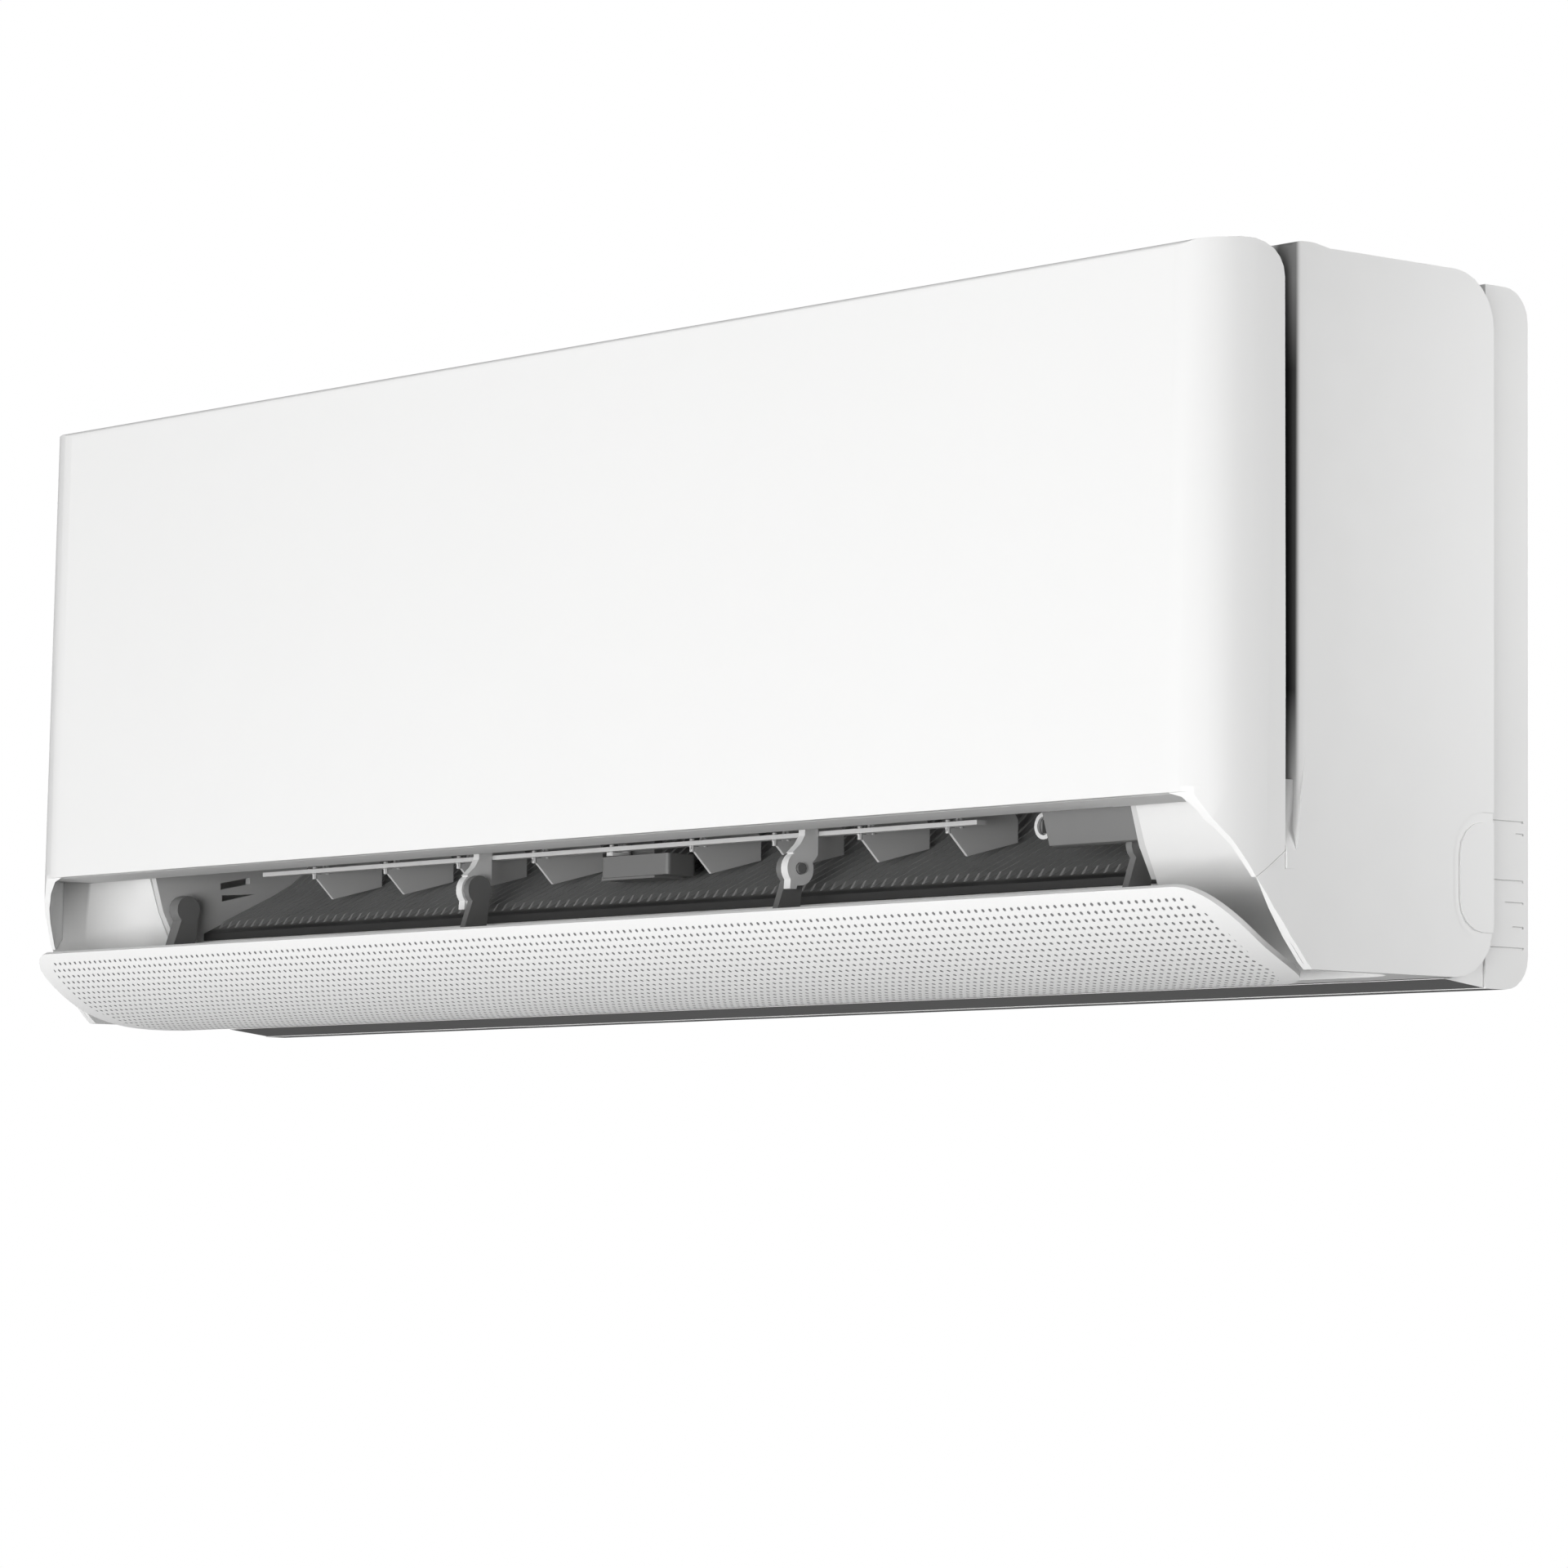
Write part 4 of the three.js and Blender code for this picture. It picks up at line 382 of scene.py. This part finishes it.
def dress(name):
    """Gives a solid its material, smooth curves and softened edges."""
    o = nodes[name]
    o.data.materials.clear()
    o.data.materials.append(finishes["cover_plastic" if name in DARKER else slots[name]])
    o.data.polygons.foreach_set("use_smooth", [True] * len(o.data.polygons))
    o.modifiers.new("weld", "WELD").merge_threshold = WELD
    flat = o.modifiers.new("flat", "DECIMATE")
    flat.decimate_type = "DISSOLVE"
    flat.angle_limit = math.radians(FLAT_ANGLE)
    soften(o, SOFT_EDGE, SOFT_SEGMENTS, SOFT_ANGLE)
    split = o.modifiers.new("split", "EDGE_SPLIT")
    split.split_angle = math.radians(SPLIT_ANGLE)
    split.use_edge_sharp = False
    o.modifiers.new("normals", "WEIGHTED_NORMAL").keep_sharp = True


for node_name in nodes:
    dress(node_name)


# ---- own pieces ---------------------------------------------------------------------------
def to_row(x, y, z):
    """A point of the unit, in millimetres, as the frame has it."""
    return Vector((x * MM, y * MM, (z - PLATE_CENTRE_Z) * MM))


def placed(name, mesh, *materials):
    """Turns a bmesh into an object of the scene."""
    data = bpy.data.meshes.new(name)
    mesh.to_mesh(data)
    mesh.free()
    for material in materials:
        data.materials.append(finishes[material])
    o = bpy.data.objects.new(name, data)
    scene.collection.objects.link(o)
    return o


# ---- flap skin ----------------------------------------------------------------------------
FRONT = -192.0
EYE = (-120.0, 68.0)  # the flap's hinge
FLAP_OPEN = math.radians(30)
FLAP_HALF = 459.0
FLAP_TOP = 79.6
FLAP_CURVE = ((FRONT + 0.5, FLAP_TOP), (FRONT + 0.9, 38), (FRONT + 48, -6.5), (FRONT + 75, 2.6))
FLAP_TOP_RADII = (13.0, 30.0)  # upper corners, left and right
FLAP_CUT_Y = FRONT + 28  # rear corners: where they start, how deep and how long they are cut
FLAP_CUT_DEEP = 48.0
FLAP_CUT_LONG = 86.0
FLAP_CUT_RADIUS = 30.0
FLAP_THICK = 2.5
FLAP_ROWS = 49
FLAP_CLOSE_ROWS = [0.0005, 0.002, 0.0045, 0.008, 0.013]  # more rows round the upper corners
FLAP_COLUMNS, FLAP_END_COLUMNS = 96, 17
FLAP_MIDDLE = 380.0  # half of the length that the middle's columns span
FLAP_EDGE, FLAP_EDGE_SEGMENTS, FLAP_EDGE_ANGLE = 0.0006, 3, 50
RIM_TOP, RIM_REAR, RIM_RIGHT, RIM_LEFT = 5.0, 9.0, 13.0, 12.0  # bare of holes
FIRST_HOLES = 6.5  # first row of holes, from the upper edge


def bezier(points, t):
    a, b, c, d = (np.array(p) for p in points)
    return (1 - t) ** 3 * a + 3 * (1 - t) ** 2 * t * b + 3 * (1 - t) * t * t * c + t ** 3 * d


def flap_section():
    """Points of the shut flap's outer line with their distance along it."""
    shares = sorted(FLAP_CLOSE_ROWS + [i / (FLAP_ROWS - 1) for i in range(FLAP_ROWS)])
    line = np.array([bezier(FLAP_CURVE, share) for share in shares])
    steps = np.hypot(*np.diff(line, axis=0).T)
    return line, np.concatenate([[0], np.cumsum(steps)])


def flap_end(y, z, side):
    """Half-length of the flap at a point of its shut section, towards one side."""
    radius = FLAP_TOP_RADII[side > 0]
    over = max(0.0, z - (FLAP_TOP - radius))
    top = FLAP_HALF - radius + math.sqrt(max(radius ** 2 - over ** 2, 0.0))
    angle = math.atan2(FLAP_CUT_LONG, FLAP_CUT_DEEP)
    past = y - (FLAP_CUT_Y - FLAP_CUT_RADIUS * math.tan(angle / 2))
    if past <= 0:
        return top
    if past < FLAP_CUT_RADIUS * math.sin(angle):
        rounded = math.sqrt(FLAP_CUT_RADIUS ** 2 - past ** 2)
        return min(top, FLAP_HALF - FLAP_CUT_RADIUS + rounded)
    return min(top, FLAP_HALF - FLAP_CUT_LONG * (y - FLAP_CUT_Y) / FLAP_CUT_DEEP)


def opened(y, z):
    dy, dz = y - EYE[0], z - EYE[1]
    c, s = math.cos(FLAP_OPEN), math.sin(FLAP_OPEN)
    return EYE[0] + dy * c - dz * s, EYE[1] + dy * s + dz * c


def flap_skin():
    line, arc = flap_section()
    length = arc[-1]
    mesh = bmesh.new()
    uv = mesh.loops.layers.uv.new("unrolled")
    margin = mesh.verts.layers.float.new("margin")
    rows, unrolled = [], {}
    for (y, z), s in zip(line, arc):
        left, right = flap_end(y, z, -1), flap_end(y, z, 1)
        inner = min(left, right, FLAP_MIDDLE)
        row = []
        for x in np.concatenate([np.linspace(-left, -inner, FLAP_END_COLUMNS)[:-1],
                                 np.linspace(-inner, inner, FLAP_COLUMNS),
                                 np.linspace(inner, right, FLAP_END_COLUMNS)[1:]]):
            vert = mesh.verts.new(to_row(x, *opened(y, z)))
            vert[margin] = min(s / RIM_TOP, (length - s) / RIM_REAR,
                               (right - x) / RIM_RIGHT, (x + left) / RIM_LEFT)
            unrolled[vert] = (x * MM + HOLE_PITCH_X / 2, (s - FIRST_HOLES) * MM + HOLE_PITCH_S / 2)
            row.append(vert)
        rows.append(row)
    for low, high in zip(rows, rows[1:]):
        for i in range(len(low) - 1):
            mesh.faces.new((low[i], high[i], high[i + 1], low[i + 1]))
    for face in mesh.faces:
        face.smooth = True
        for loop in face.loops:
            loop[uv].uv = unrolled[loop.vert]
    skin = placed("flap_skin", mesh, "flap_plastic", "case_plastic")
    wall = skin.modifiers.new("wall", "SOLIDIFY")
    wall.thickness = FLAP_THICK * MM
    wall.offset = -1.0
    wall.material_offset = 1
    wall.material_offset_rim = 1
    soften(skin, FLAP_EDGE, FLAP_EDGE_SEGMENTS, FLAP_EDGE_ANGLE).harden_normals = True
    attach(skin, "flap")
    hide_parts("deflector_flap")


flap_skin()


# ---- ribs of the duct's floor ---------------------------------------------------------------
DUCT_LEFT, DUCT_RIGHT = -418.0, 349.0
LIP = (-104.0, 56.0)
FAN_AXIS = (-77.0, 155.0)
SCROLL_NEAR, SCROLL_FAR = 57.0, 80.0  # scroll's radius at its top and at its foot
SCROLL_TOP, SCROLL_FOOT = math.radians(55), math.radians(-78)
SCROLL_STEPS, SCROLL_GROWTH = 14, 1.8
RIB_LAST_STEP = 8  # of the scroll, counted from its top
RIB_FRONT = (0.13, 0.22, 0.5, 0.8)  # shares of the way from the lip to the scroll's foot
RIB_START, RIB_SPARE = 7, 10  # first rib from the duct's left, and length without ribs in all
RIB_PITCH = 7.4
RIB_THICK = 2.0
RIB_CREST = RIB_THICK * 2 / 3
RIB_HIGH = 2.2
RIB_SUNK = 0.6


def scroll_point(step):
    share = step / SCROLL_STEPS
    angle = SCROLL_TOP + (SCROLL_FOOT - SCROLL_TOP) * step / SCROLL_STEPS
    radius = SCROLL_NEAR + (SCROLL_FAR - SCROLL_NEAR) * share ** SCROLL_GROWTH
    return np.array([FAN_AXIS[0] + radius * math.cos(angle),
                     FAN_AXIS[1] + radius * math.sin(angle)])


def duct_line():
    """The duct's floor in section, from behind the lip to the start of the scroll's rise."""
    rise = [scroll_point(step) for step in range(SCROLL_STEPS, RIB_LAST_STEP - 1, -1)]
    lip = np.array(LIP)
    return np.array([lip + (rise[0] - lip) * share for share in RIB_FRONT] + rise)


def duct_ribs():
    line = duct_line()
    along = np.gradient(line, axis=0)
    along /= np.hypot(*along.T)[:, None]
    inward = np.stack([-along[:, 1], along[:, 0]], axis=1)
    rises = [0.0] + [RIB_HIGH] * (len(line) - 1)
    mesh = bmesh.new()
    for k in range(int((DUCT_RIGHT - DUCT_LEFT - RIB_SPARE) / RIB_PITCH)):
        x = DUCT_LEFT + RIB_START + k * RIB_PITCH
        rings = []
        for point, normal, rise in zip(line, inward, rises):
            foot, crest = point - normal * RIB_SUNK, point + normal * rise
            corners = ((x - RIB_THICK / 2, foot), (x + RIB_THICK / 2, foot),
                       (x + RIB_CREST / 2, crest), (x - RIB_CREST / 2, crest))
            rings.append([mesh.verts.new(to_row(across, *level)) for across, level in corners])
        for near, far in zip(rings, rings[1:]):
            for i in range(4):
                mesh.faces.new((near[i], near[(i + 1) % 4], far[(i + 1) % 4], far[i]))
        mesh.faces.new(rings[0][::-1])
        mesh.faces.new(rings[-1])
    bmesh.ops.recalc_face_normals(mesh, faces=mesh.faces)
    ribs = placed("duct_ribs", mesh, "rib_plastic")
    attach(ribs, "base")


duct_ribs()


# ---- floor, light and camera ------------------------------------------------------------------
FLOOR_SIZE, FLOOR_HEIGHT = 14.0, -1.9
FLOOR_COLOUR = (0.62, 0.62, 0.62, 1)
WORLD_LIGHT = 0.14
LAMPS = {  # name: place, target, size, power
    "key": ((-1.4, -3.2, 1.5), (0, -0.1, 0), (2.4, 2.0), 13.0),
    "front": ((-0.3, -3.4, -0.6), (0, -0.1, 0), (2.4, 1.0), 48.0),
    "front_right": ((1.8, -3.1, -0.45), (0, -0.1, 0), (1.6, 1.2), 45.0),
    "side": ((0.95, 0.30, 0.05), (0.46, -0.08, 0), (0.25, 0.6), 2.8),
    "fill": ((-0.3, -1.9, -0.8), (0, -0.1, -0.08), (2.2, 0.5), 4.5),
    "top": ((0.3, -0.6, 3.0), (0, -0.1, 0), (2.0, 1.5), 14.0),
}
AZIMUTH, ELEVATION, ROLL = (math.radians(angle) for angle in (49.7, -4.5, 0.5))
CAMERA_AIM = (66.0, -100.0, 111.8)
CAMERA_AWAY = 3.0338
SENSOR, LENS = 36.0, 142.87
SEEN_UP_TO = 50.0


def seen_white(name):
    """A pale floor that the camera and mirrors see as plain white, and that still takes light."""
    t = Tree(name)
    t.set(Base_Color=FLOOR_COLOUR, Roughness=0.9)
    glow = t.add("ShaderNodeEmission", Color=WHITE, Strength=1.0)
    path = t.nodes.new("ShaderNodeLightPath").outputs
    seen = t.math("MAXIMUM", path["Is Camera Ray"],
                  t.math("MAXIMUM", path["Is Glossy Ray"], path["Is Transmission Ray"]))
    blend = t.add("ShaderNodeMixShader", i0=seen, i1=t.shader.outputs[0], i2=glow)
    t.links.new(blend, t.nodes["Material Output"].inputs["Surface"])
    return t.material


def floor():
    mesh = bpy.data.meshes.new("floor")
    corners = [(x * FLOOR_SIZE, y * FLOOR_SIZE, FLOOR_HEIGHT)
               for x, y in ((-1, -1), (1, -1), (1, 1), (-1, 1))]
    mesh.from_pydata(corners, [], [(0, 1, 2, 3)])
    mesh.materials.append(seen_white("floor_white"))
    o = bpy.data.objects.new("floor", mesh)
    scene.collection.objects.link(o)


def lamp(name, place, target, size, power):
    data = bpy.data.lights.new(name, "AREA")
    data.shape = "RECTANGLE"
    data.size, data.size_y = size
    data.energy = power
    o = bpy.data.objects.new(name, data)
    o.location = place
    o.rotation_mode = "QUATERNION"
    o.rotation_quaternion = (Vector(target) - Vector(place)).to_track_quat("-Z", "Y")
    scene.collection.objects.link(o)


def world():
    """Soft light from all round, seen as white by the camera and through glass."""
    studio = bpy.data.worlds.new("studio")
    scene.world = studio
    studio.use_nodes = True
    tree = studio.node_tree
    back = tree.nodes["Background"]
    back.inputs["Color"].default_value = WHITE
    path = tree.nodes.new("ShaderNodeLightPath")
    seen = tree.nodes.new("ShaderNodeMath")
    seen.operation = "MAXIMUM"
    tree.links.new(path.outputs["Is Camera Ray"], seen.inputs[0])
    tree.links.new(path.outputs["Is Transmission Ray"], seen.inputs[1])
    level = tree.nodes.new("ShaderNodeMapRange")
    level.inputs["To Min"].default_value = WORLD_LIGHT
    level.inputs["To Max"].default_value = 1.0
    tree.links.new(seen.outputs[0], level.inputs["Value"])
    tree.links.new(level.outputs[0], back.inputs["Strength"])


def camera():
    back = Vector((math.sin(AZIMUTH) * math.cos(ELEVATION),
                   -math.cos(AZIMUTH) * math.cos(ELEVATION), math.sin(ELEVATION)))
    right = (-back).cross(Vector((0, 0, 1))).normalized()
    up = right.cross(-back)
    x_axis = math.cos(ROLL) * right + math.sin(ROLL) * up
    y_axis = -math.sin(ROLL) * right + math.cos(ROLL) * up
    data = bpy.data.cameras.new("camera")
    data.sensor_width = SENSOR
    data.lens = LENS
    data.clip_end = SEEN_UP_TO
    o = bpy.data.objects.new("camera", data)
    scene.collection.objects.link(o)
    turn = Matrix((x_axis, y_axis, back)).transposed()
    o.matrix_world = Matrix.Translation(to_row(*CAMERA_AIM) + back * CAMERA_AWAY) @ turn.to_4x4()
    scene.camera = o


floor()
for lamp_name, lamp_facts in LAMPS.items():
    lamp(lamp_name, *lamp_facts)
world()
camera()
scene.view_settings.view_transform = "Standard"
